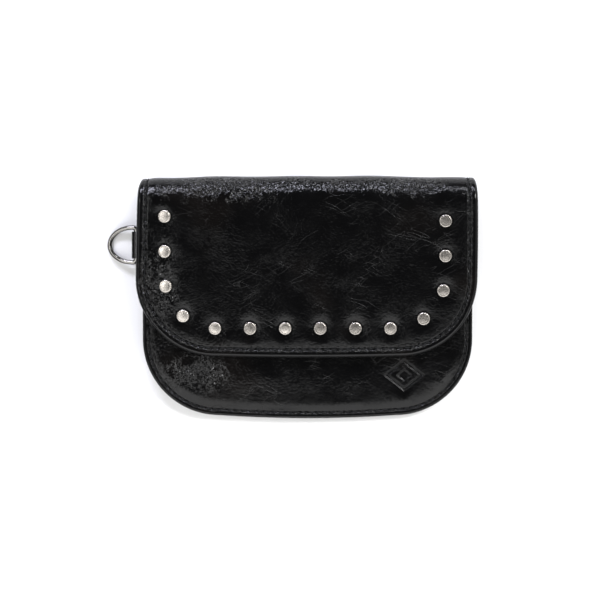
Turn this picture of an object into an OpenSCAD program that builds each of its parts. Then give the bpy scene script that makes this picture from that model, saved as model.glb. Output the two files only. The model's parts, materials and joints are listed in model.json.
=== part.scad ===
// Studded flap wallet with a ring at its side, lying on its back.
// X runs along the width, Y points to the top fold and Z comes up through the front.
// The origin is the centre of the back face.

/* [Body] */
// Width of the front and back panels
body_w = 127; // [120:1:130]
// Height from the bottom edge to the outside of the top fold
body_h = 93; // [90:1:98]
// Radius of the bottom corners
corner_r = 29.5; // [24:0.5:31]
// How far the bottom edge bows out between its corners
bottom_bow = 1.2; // [0.6:0.1:1.6]
// Angle between the back and the front panel, in degrees
wedge_deg = 7; // [6.5:0.1:8]
// Distance from the bottom edge to the mouth, along the front panel
front_len = 70.5; // [66:0.5:72]

/* [Leather] */
// Thickness of the outer leather
leather_t = 1.5; // [1.3:0.1:1.6]
// Thickness of the lining
lining_t = 0.6; // [0.5:0.1:0.7]
// Thickness of one card pocket
pocket_t = 0.5; // [0.4:0.1:0.6]
// Thickness of the board that stiffens the flap
stiffener_t = 0.5; // [0.5:0.1:0.7]
// Free gap between the flap and the front panel
flap_gap = 0.3; // [0.3:0.1:0.5]

/* [Flap] */
// Width of the flap and the top fold
flap_w = 131; // [130:1:134]
// Distance from the bottom edge of the wallet to the flap's lower edge, along the front
flap_start = 24; // [22:0.5:27]
// Radius of the flap's lower corners
flap_corner_r = 30; // [26:0.5:32]
// How far the flap's lower edge bows out between its corners
flap_bow = 0.5; // [0.3:0.1:0.8]

/* [Studs] */
// Number of studs along the flap's edge
stud_count = 14; // [14:1:14]
// Diameter of a stud's cap
stud_d = 5; // [4:0.1:5.4]
// Height of a stud's cap
stud_h = 0.9; // [0.7:0.1:1]
// Distance between neighbouring studs
stud_pitch = 13.5; // [13:0.1:13.8]
// Distance of the stud row from the flap's lower edge
stud_inset = 11.5; // [11:0.1:13]

/* [Stitching] */
// Distance from one stitch to the next
stitch_pitch = 2.85; // [2.6:0.05:3.4]
// Length of one stitch on the surface
stitch_len = 2; // [1.6:0.1:2.2]
// Distance of the flap's seam from its edge
flap_seam_inset = 3.3; // [3:0.1:3.6]
// Distance of the body's seam from its edge
body_seam_inset = 2.4; // [2:0.1:3]

/* [Ring and tab] */
// Thickness of the ring's wire
wire_d = 1.7; // [1.5:0.1:1.8]
// Clear width inside the ring, for a strap or a chain link
ring_gap = 11.8; // [11.6:0.1:13]
// Distance from the ring's bar to the middle of its far end
ring_reach = 10.6; // [10:0.1:12]
// Width of the leather tab that holds the ring
tab_w = 10.4; // [9:0.1:10.4]
// Distance of the ring above the wallet's middle
ring_y = 20.3; // [18:0.1:21]

/* [Magnetic snap] */
// Diameter of each half of the snap
snap_d = 14; // [12:0.5:15]
// Distance from the bottom edge to the middle of the snap, along the front
snap_v = 47; // [46:0.5:50]

/* [Hidden] */
STUD_NAMES = [for (i = [1:stud_count]) str("stud_", i < 10 ? "0" : "", i)];
POCKET_NAMES = ["card_pocket_1", "card_pocket_2", "card_pocket_3"];
$fn = 64;

LEATHER = [0.06, 0.06, 0.065];
LINING = [0.12, 0.11, 0.11];
THREAD = [0.2, 0.2, 0.21];
NICKEL = [0.72, 0.7, 0.67];
BOARD = [0.35, 0.33, 0.3];

bottom_y = -body_h / 2;
seam_z = leather_t + lining_t;

// Heights above the inner face of the front lining, measured square to the front.
front_top = lining_t + leather_t;
flap_bottom = front_top + flap_gap;
stiffener_bottom = flap_bottom + lining_t;
leather_bottom = stiffener_bottom + stiffener_t;
flap_top = leather_bottom + leather_t;

// The fold is an arc tangent to the back face and to the outside of the flap.
fold_exact_r = (flap_top + seam_z * cos(wedge_deg) + body_h * sin(wedge_deg))
    / (1 + cos(wedge_deg) + sin(wedge_deg));
fold_r = round(100 * fold_exact_r) / 100;
fold_y = body_h / 2 - fold_r;
back_len = fold_y - bottom_y;
fold_exact_v = back_len * cos(wedge_deg) + (fold_r - seam_z) * sin(wedge_deg);
fold_v = round(100 * fold_exact_v) / 100;
flap_len = fold_v - flap_start;
fold_end = 180 + wedge_deg;

// The fold bends along three lines, at these angles around its arc.
KNEES = [30, 90, 150];
knee_gap = 0.4;

// The back widens to the flap's width near the fold.
flare_y = 14;

// Stitch thread and the groove that it lies in.
stitch_w = 0.6;
stitch_h = 0.3;
groove_w = 1;
groove_d = 0.4;
seam_end = 2;

// Wider end of the big circles that draw the bowed edges.
bow_fn = 720;

// Studs: post, hidden back and the shape of the row.
post_r = 0.8;
post_gap = 0.05;
stud_back_r = 2;
stud_back_h = 0.4;
stud_back_gap = 0.3;
stud_shift = -1;
stud_row_w = 107.8;
stud_row_r = 20;
stud_left_leg = 23.3;

// Snap: gap in the leather, nib and its seat.
snap_gap = 0.1;
nib_r = 2.5;
nib_h = 0.8;
seat_gap = 0.4;

// Card pockets: width, first edges and the step from one to the next.
pocket_w = 96;
pocket_bottom_y = -39;
pocket_bottom_step = 5;
pocket_top_y = 12;
pocket_top_step = 8;
pocket_corner = 4;

// Gussets: folded side walls between the back and the front panel.
gusset_t = 0.6;
gusset_low_y = -24;
gusset_high_y = 22;
gusset_x = 61;
gusset_depth = 8;
gusset_low_depth = 1.5;

// Ring: the bar lies in the tab's loop and the far end droops to the table.
wire_r = wire_d / 2;
tab_ply = 0.8;
ring_slack = 0.3;
loop_r = wire_r + ring_slack + tab_ply;
ring_x = -66.15;
ring_z = seam_z + tab_ply;
ring_half = ring_gap / 2 + wire_r;
ring_bend = 1.5;
ring_leg = ring_reach - ring_half;
table_gap = 0.05;
ring_droop = asin((ring_z - wire_r - table_gap) / ring_reach);
tab_end_x = -54;

// Mark pressed into the front: one plain lozenge inside another.
mark_x = 37.3;
mark_v = 17;
mark_w = 15.4;
mark_h = 12.3;
mark_line = 1.1;
mark_depth = 0.35;
mark_core = 0.36;

// Point and heading on a U-shaped line: down the left leg, around the bottom and up the right.
// The lowest point of the line is at the origin.
function u_point(s, half, r, leg, bow) =
    let (quarter = PI * r / 2, a1 = leg + quarter, a2 = a1 + 2 * half, a3 = a2 + quarter)
    s < leg ? [-half - r, bow + r + leg - s, -90] :
    s < a1 ? let (a = (s - leg) / r * 180 / PI) [-half - r * cos(a), bow + r - r * sin(a), a - 90] :
    s < a2 ? let (t = (s - a1) / half - 1) [t * half, bow * t * t, atan(2 * bow * t / half)] :
    s < a3 ? let (a = (s - a2) / r * 180 / PI) [half + r * sin(a), bow + r - r * cos(a), a] :
    [half + r, bow + r + s - a3, 90];

function u_length(half, r, leg) = 2 * leg + PI * r + 2 * half;

// Frame of the front panel: origin on the bottom edge, Z square to the front.
module on_front(height = 0) {
    translate([0, bottom_y, seam_z]) rotate([wedge_deg, 0, 0]) translate([0, 0, height]) children();
}

// Panel outline with round bottom corners and a bowed bottom edge through the origin.
module panel_outline(w, len, r, bow) {
    half = w / 2 - r;
    bow_r = (half * half + bow * bow) / (2 * bow);
    translate([-w / 2, bow + r]) square([w, len - bow - r]);
    for (side = [-1, 1]) translate([side * half, bow + r]) circle(r);
    intersection() {
        translate([-half - 1, 0]) square([2 * half + 2, bow + r]);
        translate([0, bow_r]) circle(bow_r, $fn = bow_fn);
    }
}

// The same outline, drawn in by d on its sides and bottom.
module inset_outline(w, len, r, bow, d) {
    translate([0, d]) panel_outline(w - 2 * d, len - d, r - d, bow);
}

// Groove that runs along the sides and the bottom, at distance d from the edge.
module groove_outline(w, len, r, bow, d) {
    difference() {
        inset_outline(w, len, r, bow, d - groove_w / 2);
        inset_outline(w, len + 1, r, bow, d + groove_w / 2);
    }
}

// Row of stitches along the same groove, standing on z = 0.
module stitch_row(w, len, r, bow, d) {
    half = w / 2 - r;
    leg = len - seam_end - bow - r;
    total = u_length(half, r - d, leg);
    count = floor(total / stitch_pitch);
    first = (total - (count - 1) * stitch_pitch) / 2;
    for (i = [0:count - 1]) {
        p = u_point(first + i * stitch_pitch, half, r - d, leg, bow);
        translate([p.x, p.y + d, 0]) rotate([0, 0, p.z])
            translate([-stitch_len / 2, -stitch_w / 2, 0]) cube([stitch_len, stitch_w, stitch_h]);
    }
}

// Part of the fold between two angles, at a depth below its outer face.
module fold_strip(from, to, depth, t) {
    translate([0, fold_y, fold_r]) rotate([0, 90, 0]) rotate([0, 0, from])
        rotate_extrude(angle = to - from)
            translate([fold_r - depth - t, -flap_w / 2]) square([t, flap_w]);
}

// Last part of the fold, which runs on into the flap, drawn from the flap's end backwards.
module flap_turn(depth, t) {
    on_front(flap_top - fold_r) translate([0, fold_v, 0]) rotate([0, -90, 0])
        rotate_extrude(angle = fold_end - KNEES[2] - knee_gap)
            translate([fold_r - depth - t, -flap_w / 2]) square([t, flap_w]);
}

module back_outline() {
    translate([0, bottom_y]) panel_outline(body_w, back_len, corner_r, bottom_bow);
    polygon([
        [-body_w / 2, flare_y],
        [body_w / 2, flare_y],
        [flap_w / 2, fold_y],
        [-flap_w / 2, fold_y]
    ]);
}

module flap_outline(d = 0) {
    translate([0, flap_start]) inset_outline(flap_w, flap_len, flap_corner_r, flap_bow, d);
}

// Places its children at every stud, on the outside of the flap's leather.
module at_stud(i, height) {
    half = stud_row_w / 2 - stud_row_r;
    p = u_point(i * stud_pitch, half, stud_row_r, stud_left_leg, 0);
    on_front(height) translate([p.x + stud_shift, flap_start + stud_inset + p.y, 0]) children();
}

module at_snap(height) {
    on_front(height) translate([0, snap_v, 0]) children();
}

module back_leather() {
    color(LEATHER) difference() {
        union() {
            linear_extrude(leather_t) back_outline();
            fold_strip(0, KNEES[0] - knee_gap, 0, leather_t);
        }
        translate([0, bottom_y, -1]) linear_extrude(groove_d + 1)
            groove_outline(body_w, back_len - seam_end, corner_r, bottom_bow, body_seam_inset);
    }
}

module back_lining() {
    color(LINING) union() {
        translate([0, 0, leather_t]) linear_extrude(lining_t) back_outline();
        fold_strip(0, KNEES[0] - knee_gap, leather_t, lining_t);
    }
}

module back_stitching() {
    color(THREAD) translate([0, bottom_y, groove_d - stitch_h])
        stitch_row(body_w, back_len - seam_end, corner_r, bottom_bow, body_seam_inset);
}

// Card pocket with square bottom corners and round top corners, number 0 lying deepest.
module card_pocket(i) {
    low = pocket_bottom_y + i * pocket_bottom_step;
    high = pocket_top_y - i * pocket_top_step;
    half = pocket_w / 2 - pocket_corner;
    color(LINING) translate([0, 0, seam_z + i * pocket_t]) linear_extrude(pocket_t) union() {
        translate([-pocket_w / 2, low]) square([pocket_w, high - low - pocket_corner]);
        translate([-half, low]) square([2 * half, high - low]);
        for (side = [-1, 1]) translate([side * half, high - pocket_corner]) circle(pocket_corner);
    }
}

// Small block that a gusset's corner is drawn from, at depth in from the side edge.
module gusset_corner(y, z, depth) {
    translate([gusset_x - depth - gusset_t, y, z]) cube(gusset_t);
}

// One side wall: two leaves that meet in a fold pointing into the wallet.
module gusset() {
    clear = 0.1;
    low_front = seam_z + (gusset_low_y - bottom_y) * tan(wedge_deg) - gusset_t - clear;
    high_front = seam_z + (gusset_high_y - bottom_y) * tan(wedge_deg) - gusset_t - clear;
    low_back = seam_z + clear;
    high_back = seam_z + 2 * tab_ply + 2 * clear + gusset_t / 2;
    low_mid = (low_front + low_back) / 2;
    high_mid = (high_front + high_back) / 2;
    union() {
        hull() {
            gusset_corner(gusset_low_y, low_back, 0);
            gusset_corner(gusset_high_y, high_back, 0);
            gusset_corner(gusset_low_y, low_mid, gusset_low_depth);
            gusset_corner(gusset_high_y, high_mid, gusset_depth);
        }
        hull() {
            gusset_corner(gusset_low_y, low_front, 0);
            gusset_corner(gusset_high_y, high_front, 0);
            gusset_corner(gusset_low_y, low_mid, gusset_low_depth);
            gusset_corner(gusset_high_y, high_mid, gusset_depth);
        }
    }
}

module gusset_right() {
    color(LEATHER) gusset();
}

module gusset_left() {
    color(LEATHER) mirror([1, 0, 0]) gusset();
}

// Leather strip folded around the ring's bar, with both ends sewn in above the back lining.
module ring_tab() {
    color(LEATHER) translate([0, ring_y, 0]) difference() {
        union() {
            translate([ring_x, tab_w / 2, ring_z]) rotate([90, 0, 0]) cylinder(h = tab_w, r = loop_r);
            translate([ring_x, -tab_w / 2, seam_z]) cube([tab_end_x - ring_x, tab_w, 2 * tab_ply]);
        }
        translate([ring_x, tab_w / 2 + 1, ring_z]) rotate([90, 0, 0])
            cylinder(h = tab_w + 2, r = wire_r + ring_slack);
    }
}

// Quarter or half turn of the ring's wire, around the Z axis.
module wire_turn(bend_r, angle) {
    rotate_extrude(angle = angle) translate([bend_r, 0]) circle(wire_r);
}

module wire_rod(len) {
    rotate([0, 90, 0]) cylinder(h = len, r = wire_r);
}

// D-shaped ring: bar in the tab, two bends, two short legs and a half circle.
module d_ring() {
    straight = ring_half - ring_bend;
    color(NICKEL) translate([ring_x, ring_y, ring_z]) rotate([0, -ring_droop, 0]) union() {
        translate([0, straight, 0]) rotate([90, 0, 0]) cylinder(h = 2 * straight, r = wire_r);
        for (side = [0, 1]) mirror([0, side, 0]) {
            translate([-ring_bend, straight, 0]) wire_turn(ring_bend, 90);
            translate([-ring_leg, ring_half, 0]) wire_rod(ring_leg - ring_bend);
        }
        translate([-ring_leg, 0, 0]) rotate([0, 0, 90]) wire_turn(ring_half, 180);
    }
}

module spine_lower_leather() {
    color(LEATHER) fold_strip(KNEES[0] + knee_gap, KNEES[1] - knee_gap, 0, leather_t);
}

module spine_lower_lining() {
    color(LINING) fold_strip(KNEES[0] + knee_gap, KNEES[1] - knee_gap, leather_t, lining_t);
}

module spine_upper_leather() {
    color(LEATHER) fold_strip(KNEES[1] + knee_gap, KNEES[2] - knee_gap, 0, leather_t);
}

module spine_upper_lining() {
    color(LINING) fold_strip(KNEES[1] + knee_gap, KNEES[2] - knee_gap, leather_t, lining_t);
}

module flap_leather() {
    color(LEATHER) difference() {
        union() {
            on_front(leather_bottom) linear_extrude(leather_t) flap_outline();
            flap_turn(0, leather_t);
        }
        on_front(flap_top - groove_d) translate([0, flap_start, 0]) linear_extrude(1)
            groove_outline(flap_w, flap_len - seam_end, flap_corner_r, flap_bow, flap_seam_inset);
        for (i = [0:stud_count - 1]) at_stud(i, leather_bottom - 1)
            cylinder(h = leather_t + 2, r = post_r + post_gap);
    }
}

module flap_stiffener() {
    edge = 1;
    color(BOARD) difference() {
        union() {
            on_front(stiffener_bottom) linear_extrude(stiffener_t) flap_outline(edge);
            flap_turn(leather_t, stiffener_t);
        }
        for (i = [0:stud_count - 1]) at_stud(i, stiffener_bottom - 1)
            cylinder(h = stiffener_t + 2, r = stud_back_r + stud_back_gap);
        at_snap(stiffener_bottom - 1) cylinder(h = stiffener_t + 2, d = snap_d + 2 * snap_gap);
    }
}

module flap_lining() {
    color(LINING) difference() {
        union() {
            on_front(flap_bottom) linear_extrude(lining_t) flap_outline();
            flap_turn(leather_t + stiffener_t, lining_t);
        }
        at_snap(flap_bottom - 1) cylinder(h = lining_t + 2, d = snap_d + 2 * snap_gap);
    }
}

module flap_stitching() {
    color(THREAD) on_front(flap_top - groove_d) translate([0, flap_start, 0])
        stitch_row(flap_w, flap_len - seam_end, flap_corner_r, flap_bow, flap_seam_inset);
}

module flap_snap() {
    color(NICKEL) union() {
        at_snap(flap_bottom) cylinder(h = lining_t + stiffener_t, d = snap_d);
        at_snap(flap_bottom - nib_h) cylinder(h = nib_h, r = nib_r);
    }
}

// Stud number i: a low cap with a bevelled rim, and the post through the leather.
module stud(i) {
    r = stud_d / 2;
    bevel = 0.6;
    color(NICKEL) union() {
        at_stud(i, flap_top) rotate_extrude() polygon([
            [0, 0],
            [r, 0],
            [r, stud_h * 0.4],
            [r - bevel * 0.3, stud_h * 0.75],
            [r - bevel, stud_h],
            [0, stud_h]
        ]);
        at_stud(i, leather_bottom) cylinder(h = leather_t, r = post_r);
    }
}

module stud_backs() {
    color(NICKEL) for (i = [0:stud_count - 1]) at_stud(i, leather_bottom - stud_back_h)
        cylinder(h = stud_back_h, r = stud_back_r);
}

module lozenge(w, h) {
    polygon([[-w / 2, 0], [0, -h / 2], [w / 2, 0], [0, h / 2]]);
}

module mark_outline() {
    inner = 1 - 3.2 * mark_line / mark_w;
    difference() {
        lozenge(mark_w, mark_h);
        lozenge(mark_w * inner, mark_h * inner);
    }
    lozenge(mark_w * mark_core, mark_h * mark_core);
}

module front_leather() {
    color(LEATHER) difference() {
        on_front(lining_t) linear_extrude(leather_t)
            panel_outline(body_w, front_len, corner_r, bottom_bow);
        on_front(front_top - groove_d) linear_extrude(1)
            groove_outline(body_w, front_len - seam_end, corner_r, bottom_bow, body_seam_inset);
        on_front(front_top - mark_depth) translate([mark_x, mark_v, 0]) linear_extrude(1)
            mark_outline();
        at_snap(lining_t - 1) cylinder(h = leather_t + 2, d = snap_d + 2 * snap_gap);
    }
}

module front_lining() {
    color(LINING) on_front() linear_extrude(lining_t)
        panel_outline(body_w, front_len, corner_r, bottom_bow);
}

module front_stitching() {
    color(THREAD) on_front(front_top - groove_d)
        stitch_row(body_w, front_len - seam_end, corner_r, bottom_bow, body_seam_inset);
}

module front_snap() {
    seat_h = nib_h - flap_gap + seat_gap;
    color(NICKEL) difference() {
        at_snap(lining_t) cylinder(h = leather_t, d = snap_d);
        at_snap(front_top - seat_h) cylinder(h = seat_h + 1, r = nib_r + seat_gap);
    }
}

back_leather();
back_lining();
back_stitching();
gusset_left();
gusset_right();
ring_tab();
d_ring();
spine_lower_leather();
spine_lower_lining();
spine_upper_leather();
spine_upper_lining();
flap_leather();
flap_stiffener();
flap_lining();
flap_stitching();
flap_snap();
stud_backs();
front_leather();
front_lining();
front_stitching();
front_snap();
for (i = [0:len(POCKET_NAMES) - 1]) {
    card_pocket(i);
}
for (i = [0:stud_count - 1]) {
    stud(i);
}
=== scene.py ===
"""Studded flap wallet with a side ring: its visible pieces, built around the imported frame.

Lengths in this file are millimetres and turn into metres where a mesh is made. The cover
is one strip of leather that runs from the flap's edge over the top fold and down the back.
A place on it is (x, v): x across the wallet, v along the strip from its front end.
"""

import json
import logging
import math
from dataclasses import dataclass, field
from enum import Enum
from typing import Callable, Optional, Sequence

import bmesh
import bpy
import numpy as np
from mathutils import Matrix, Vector
from mathutils.geometry import delaunay_2d_cdt


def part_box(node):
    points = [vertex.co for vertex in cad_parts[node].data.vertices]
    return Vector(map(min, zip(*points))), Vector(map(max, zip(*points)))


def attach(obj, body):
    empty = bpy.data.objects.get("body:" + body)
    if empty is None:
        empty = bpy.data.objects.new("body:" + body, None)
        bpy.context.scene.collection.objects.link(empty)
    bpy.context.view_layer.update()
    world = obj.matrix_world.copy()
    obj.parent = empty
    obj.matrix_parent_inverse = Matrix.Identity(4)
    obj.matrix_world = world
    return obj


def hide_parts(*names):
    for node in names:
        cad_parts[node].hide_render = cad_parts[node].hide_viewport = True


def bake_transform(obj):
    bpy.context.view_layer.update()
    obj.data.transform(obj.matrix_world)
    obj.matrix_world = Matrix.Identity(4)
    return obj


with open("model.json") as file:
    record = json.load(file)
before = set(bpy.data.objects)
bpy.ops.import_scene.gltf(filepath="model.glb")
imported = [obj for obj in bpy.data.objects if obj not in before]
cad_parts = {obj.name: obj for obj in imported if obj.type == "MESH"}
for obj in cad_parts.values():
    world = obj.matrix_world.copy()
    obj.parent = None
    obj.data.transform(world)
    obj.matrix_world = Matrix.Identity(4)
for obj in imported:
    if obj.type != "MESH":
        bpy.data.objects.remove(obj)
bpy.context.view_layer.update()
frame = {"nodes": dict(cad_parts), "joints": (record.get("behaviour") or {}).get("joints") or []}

LOG = logging.getLogger("wallet")
MM = 0.001
SEED = 20
UV_NAME = "Hide"
EDGE_UV = "Edge"
# A distance beyond every edge and hole.
FAR = 9.0
# How far a lining's own edge lies in from the leather's edge.
LINING_EDGE = 1.4
# How far from the seam its needle holes are looked for.
HOLE_REACH = 1.2
# Middle of the snap along the flap and the front, and its hole as x, v and radius.
SNAP_V = 47.0
SNAP_HOLE = (0.0, SNAP_V, 7.05)

Array = np.ndarray
Pair = tuple[float, float]
Point = tuple[float, float, float]
Colour = tuple[float, float, float]
Height = Callable[[Array, Array, Array], Array]
Place = Callable[[Array, Array, Array], Array]
Scale = Callable[[Array], Array]
Socket = bpy.types.NodeSocket


class Body(str, Enum):
    """Rigid bodies of the frame that pieces ride on."""

    BACK = "body"
    LOWER = "spine_lower"
    UPPER = "spine_upper"
    FLAP = "flap"
    FRONT = "front"
    RING = "ring"


class Fold(Enum):
    """Where a piece of the cover bends: its two bodies and their angles around the fold."""

    FLAP = (Body.UPPER, Body.FLAP, 120.0, 180.0)
    MIDDLE = (Body.LOWER, Body.UPPER, 60.0, 120.0)
    BACK = (Body.BACK, Body.LOWER, 0.0, 60.0)


class Slot(str, Enum):
    """Material slots of the record."""

    HIDE = "black_leather"
    LINING = "lining_leather"
    THREAD = "thread"
    NICKEL = "nickel"
    BOARD = "board"


def joint_place(name: str) -> Array:
    """Return a joint's place in millimetres.

    Args:
        name: the joint's name in the record.

    Returns:
        Its x, y and z.
    """
    joint = next(j for j in frame["joints"] if j["name"] == name)
    return np.array(joint["pos_m"], float) / MM


def smooth(low: float, high: float, t: Array) -> Array:
    """Smooth step from 0 at low to 1 at high."""
    s = np.clip((np.asarray(t, float) - low) / (high - low), 0.0, 1.0)
    return s * s * (3 - 2 * s)


def bell(t: Array, width: float) -> Array:
    """Bell curve of height 1 around zero."""
    return np.exp(-((np.asarray(t, float) / width) ** 2))


@dataclass
class Pattern:
    """Sizes of the wallet, from the frame and from a leather worker's pattern."""

    wedge: float = math.radians(7.0)
    leather: float = 1.5
    lining: float = 0.6
    board: float = 0.5
    flap_gap: float = 0.3
    corner_r: float = 29.5
    bow: float = 1.2
    flap_corner_r: float = 30.0
    flap_bow: float = 0.5
    flap_start: float = 24.0
    body_seam: float = 2.4
    stitch_pitch: float = 2.85
    flare_y: float = 14.0
    body_w: float = 0.0
    flap_w: float = 0.0
    front_len: float = 0.0
    bottom_y: float = 0.0
    fold_r: float = 0.0
    fold_y: float = 0.0
    seam_z: float = 0.0
    flap_top: float = 0.0
    fold_v: float = 0.0
    fold_end: float = 0.0
    back_v: float = 0.0
    total_v: float = 0.0

    def __post_init__(self) -> None:
        """Take the main sizes from the frame."""
        low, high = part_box("spine_upper_leather")
        self.flap_w = (high.x - low.x) / MM
        low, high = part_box("front_lining")
        self.body_w = (high.x - low.x) / MM
        middle = joint_place("flap_fold_middle")
        self.fold_r = middle[2]
        self.fold_y = middle[1] - middle[2]
        _, self.bottom_y, self.seam_z = joint_place("front_open")
        self.front_len = (high.y / MM - self.bottom_y) / math.cos(self.wedge)
        self.flap_top = 2 * self.leather + 2 * self.lining + self.board + self.flap_gap
        back_len = self.fold_y - self.bottom_y
        rise = self.fold_r - self.seam_z
        self.fold_v = back_len * math.cos(self.wedge) + rise * math.sin(self.wedge)
        self.fold_end = math.pi + self.wedge
        self.back_v = self.fold_v + self.fold_r * self.fold_end
        self.total_v = self.back_v + back_len

    def v_at(self, degrees: float) -> float:
        """Place along the strip of an angle around the fold, measured from the back."""
        return self.fold_v + self.fold_r * (self.fold_end - math.radians(degrees))

    def arc_point(self, degrees: float, depth: float) -> Vector:
        """Point of the fold, in metres, at a depth below its outer face."""
        a = math.radians(degrees)
        r = self.fold_r - depth
        y = self.fold_y + r * math.sin(a)
        return Vector((0.0, y, self.fold_r - r * math.cos(a))) * MM

    def front_place(self, x: Array, v: Array, w: Array) -> Array:
        """Point above the front panel's inner face.

        Args:
            x: place across.
            v: place along the front from its bottom edge.
            w: height square to the front lining's inner face.

        Returns:
            Points in millimetres, one row each.
        """
        c, s = math.cos(self.wedge), math.sin(self.wedge)
        return np.stack([x, self.bottom_y + v * c - w * s, self.seam_z + v * s + w * c], 1)

    def cover_place(self, x: Array, v: Array, h: Array) -> Array:
        """Point of the cover strip at height h above its outer face.

        Args:
            x: place across.
            v: place along the strip.
            h: height outwards, negative into the leather.

        Returns:
            Points in millimetres, one row each.
        """
        across, down = self.settle(x, v)
        x = x + across
        flat = self.front_place(x, v, self.flap_top + h)
        a = self.fold_end - (v - self.fold_v) / self.fold_r
        r = self.fold_r + h
        turn = np.stack([x, self.fold_y + r * np.sin(a), self.fold_r - r * np.cos(a)], 1)
        back = np.stack([x, self.fold_y - (v - self.back_v), -h], 1)
        out = np.where((v > self.fold_v)[:, None], turn, flat)
        out = np.where((v > self.back_v)[:, None], back, out)
        out[:, 1] += down
        return out

    def settle(self, x: Array, v: Array) -> tuple[Array, Array]:
        """Shift of the cover where wear and stitching have pulled it out of square.

        Args:
            x: place across.
            v: place along the strip.

        Returns:
            Shifts in x and y.
        """
        top = self.v_at(90.0)
        side = smooth(57.0, self.flap_w / 2, np.abs(x))
        pull = 0.55 * bell(v - top, 15.0) + 0.95 * bell(v - top, 6.5)
        left = -0.95 * pull + 0.55 * bell(v - 52.0, 20.0)
        right = -0.7 * pull - 0.3 * bell(v - 44.0, 16.0)
        shift = np.where(x < 0, -left, right) * side
        over = smooth(self.fold_v - 14.0, self.fold_v + 2.0, v)
        over = over * (1 - smooth(self.back_v - 2.0, self.back_v + 14.0, v))
        drop = np.where(x < 0, 1.0, 0.45) * smooth(30.0, 70.0, np.abs(x))
        return shift, (0.2 - drop) * over

    def back_y(self, v: Array) -> Array:
        """World Y of a place on the back."""
        return self.fold_y - (np.asarray(v, float) - self.back_v)

    def flare(self, v: Array) -> Array:
        """How much wider the back is than its lower part, as a factor."""
        t = 1 - smooth(self.flare_y, self.fold_y, self.back_y(v))
        full = self.flap_w / self.body_w
        return full + (1 - full) * t


SIZE = Pattern()


@dataclass(frozen=True)
class EdgeRows:
    """Distances in from a sewn edge at which a leather mesh has a row of points."""

    seam: float = 3.3
    rim: Sequence[float] = (0.0, 0.06, 0.22, 0.48, 0.8, 1.15, 1.3, 1.45, 1.7, 2.05, 2.4)
    groove: Sequence[float] = (2.62, 2.8, 2.98, 3.14, 3.3, 3.46, 3.62, 3.8, 4.0, 4.3)
    inner: Sequence[float] = (4.8, 5.5, 6.4)

    def rows(self) -> list[float]:
        """Return every row, from the edge inwards."""
        return [*self.rim, *self.groove, *self.inner]

    def middle(self) -> float:
        """Distance given to every point of the filled middle."""
        return self.inner[-1] + 3.0


EDGE = EdgeRows()


@dataclass
class Grain:
    """Slow unevenness of a hide: a sum of smooth waves that never repeats the same way."""

    seed: int
    height: float = 0.1
    waves: list[tuple[float, float, float, float]] = field(default_factory=list)

    def __post_init__(self) -> None:
        """Draw the waves."""
        rng = np.random.default_rng(self.seed)
        for _ in range(9):
            length = rng.uniform(17.0, 46.0)
            angle = rng.uniform(0.0, math.tau)
            share = length / 46.0
            self.waves.append((math.tau / length, angle, rng.uniform(0.0, math.tau), share))

    def at(self, x: Array, v: Array) -> Array:
        """Height of the unevenness in millimetres."""
        total = np.zeros_like(np.asarray(x, float))
        for k, angle, phase, share in self.waves:
            along = x * math.cos(angle) + v * math.sin(angle)
            total += share * np.sin(k * along + phase + 0.6 * np.sin(0.07 * (x - v) + phase))
        return self.height * total / 2.4


@dataclass
class ULine:
    """U-shaped line: down the left leg, around the bottom and up the right leg."""

    width: float
    low: float
    high: float
    r: float
    bow: float

    def legs(self) -> float:
        """Length of one leg."""
        return self.high - self.low - self.bow - self.r

    def length(self) -> float:
        """Length of the whole line."""
        return 2 * self.legs() + math.pi * self.r + self.width - 2 * self.r

    def at(self, s: Array) -> tuple[Array, Array]:
        """Points and inward normals.

        Args:
            s: distances along the line.

        Returns:
            Two arrays of (x, v) rows: the points and the unit normals into the panel.
        """
        half = self.width / 2 - self.r
        leg, quarter = self.legs(), math.pi * self.r / 2
        a1, a2 = leg + quarter, leg + quarter + 2 * half
        a3 = a2 + quarter
        points = np.zeros((len(s), 2))
        normals = np.zeros((len(s), 2))
        base = self.low + self.bow + self.r
        for i, p in enumerate(s):
            if p < leg:
                points[i], normals[i] = (-half - self.r, base + leg - p), (1, 0)
            elif p < a1:
                a = (p - leg) / self.r
                points[i] = (-half - self.r * math.cos(a), base - self.r * math.sin(a))
                normals[i] = (math.cos(a), math.sin(a))
            elif p < a2:
                t = (p - a1) / half - 1
                tilt = math.atan(2 * self.bow * t / half)
                points[i] = (t * half, self.low + self.bow * t * t)
                normals[i] = (-math.sin(tilt), math.cos(tilt))
            elif p < a3:
                a = (p - a2) / self.r
                points[i] = (half + self.r * math.sin(a), base - self.r * math.cos(a))
                normals[i] = (-math.sin(a), math.cos(a))
            else:
                points[i], normals[i] = (half + self.r, base + p - a3), (-1, 0)
        return points, normals


def new_object(name: str, mesh: bpy.types.Mesh, slot: Slot,
               finish: bpy.types.Material) -> bpy.types.Object:
    """Link a mesh to the scene as a piece.

    Args:
        name: the piece's name.
        mesh: its mesh, in metres.
        slot: the record's material slot.
        finish: the material it shows.

    Returns:
        The new object.
    """
    obj = bpy.data.objects.new(name, mesh)
    bpy.context.scene.collection.objects.link(obj)
    mesh.materials.clear()
    mesh.materials.append(finish)
    if slot is Slot.HIDE and EDGE_UV not in mesh.uv_layers:
        layer = mesh.uv_layers.new(name=EDGE_UV)
        layer.data.foreach_set("uv", [FAR * MM] * (2 * len(mesh.loops)))
    LOG.info("%s: %d points, %d faces", name, len(mesh.vertices), len(mesh.polygons))
    return obj


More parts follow.
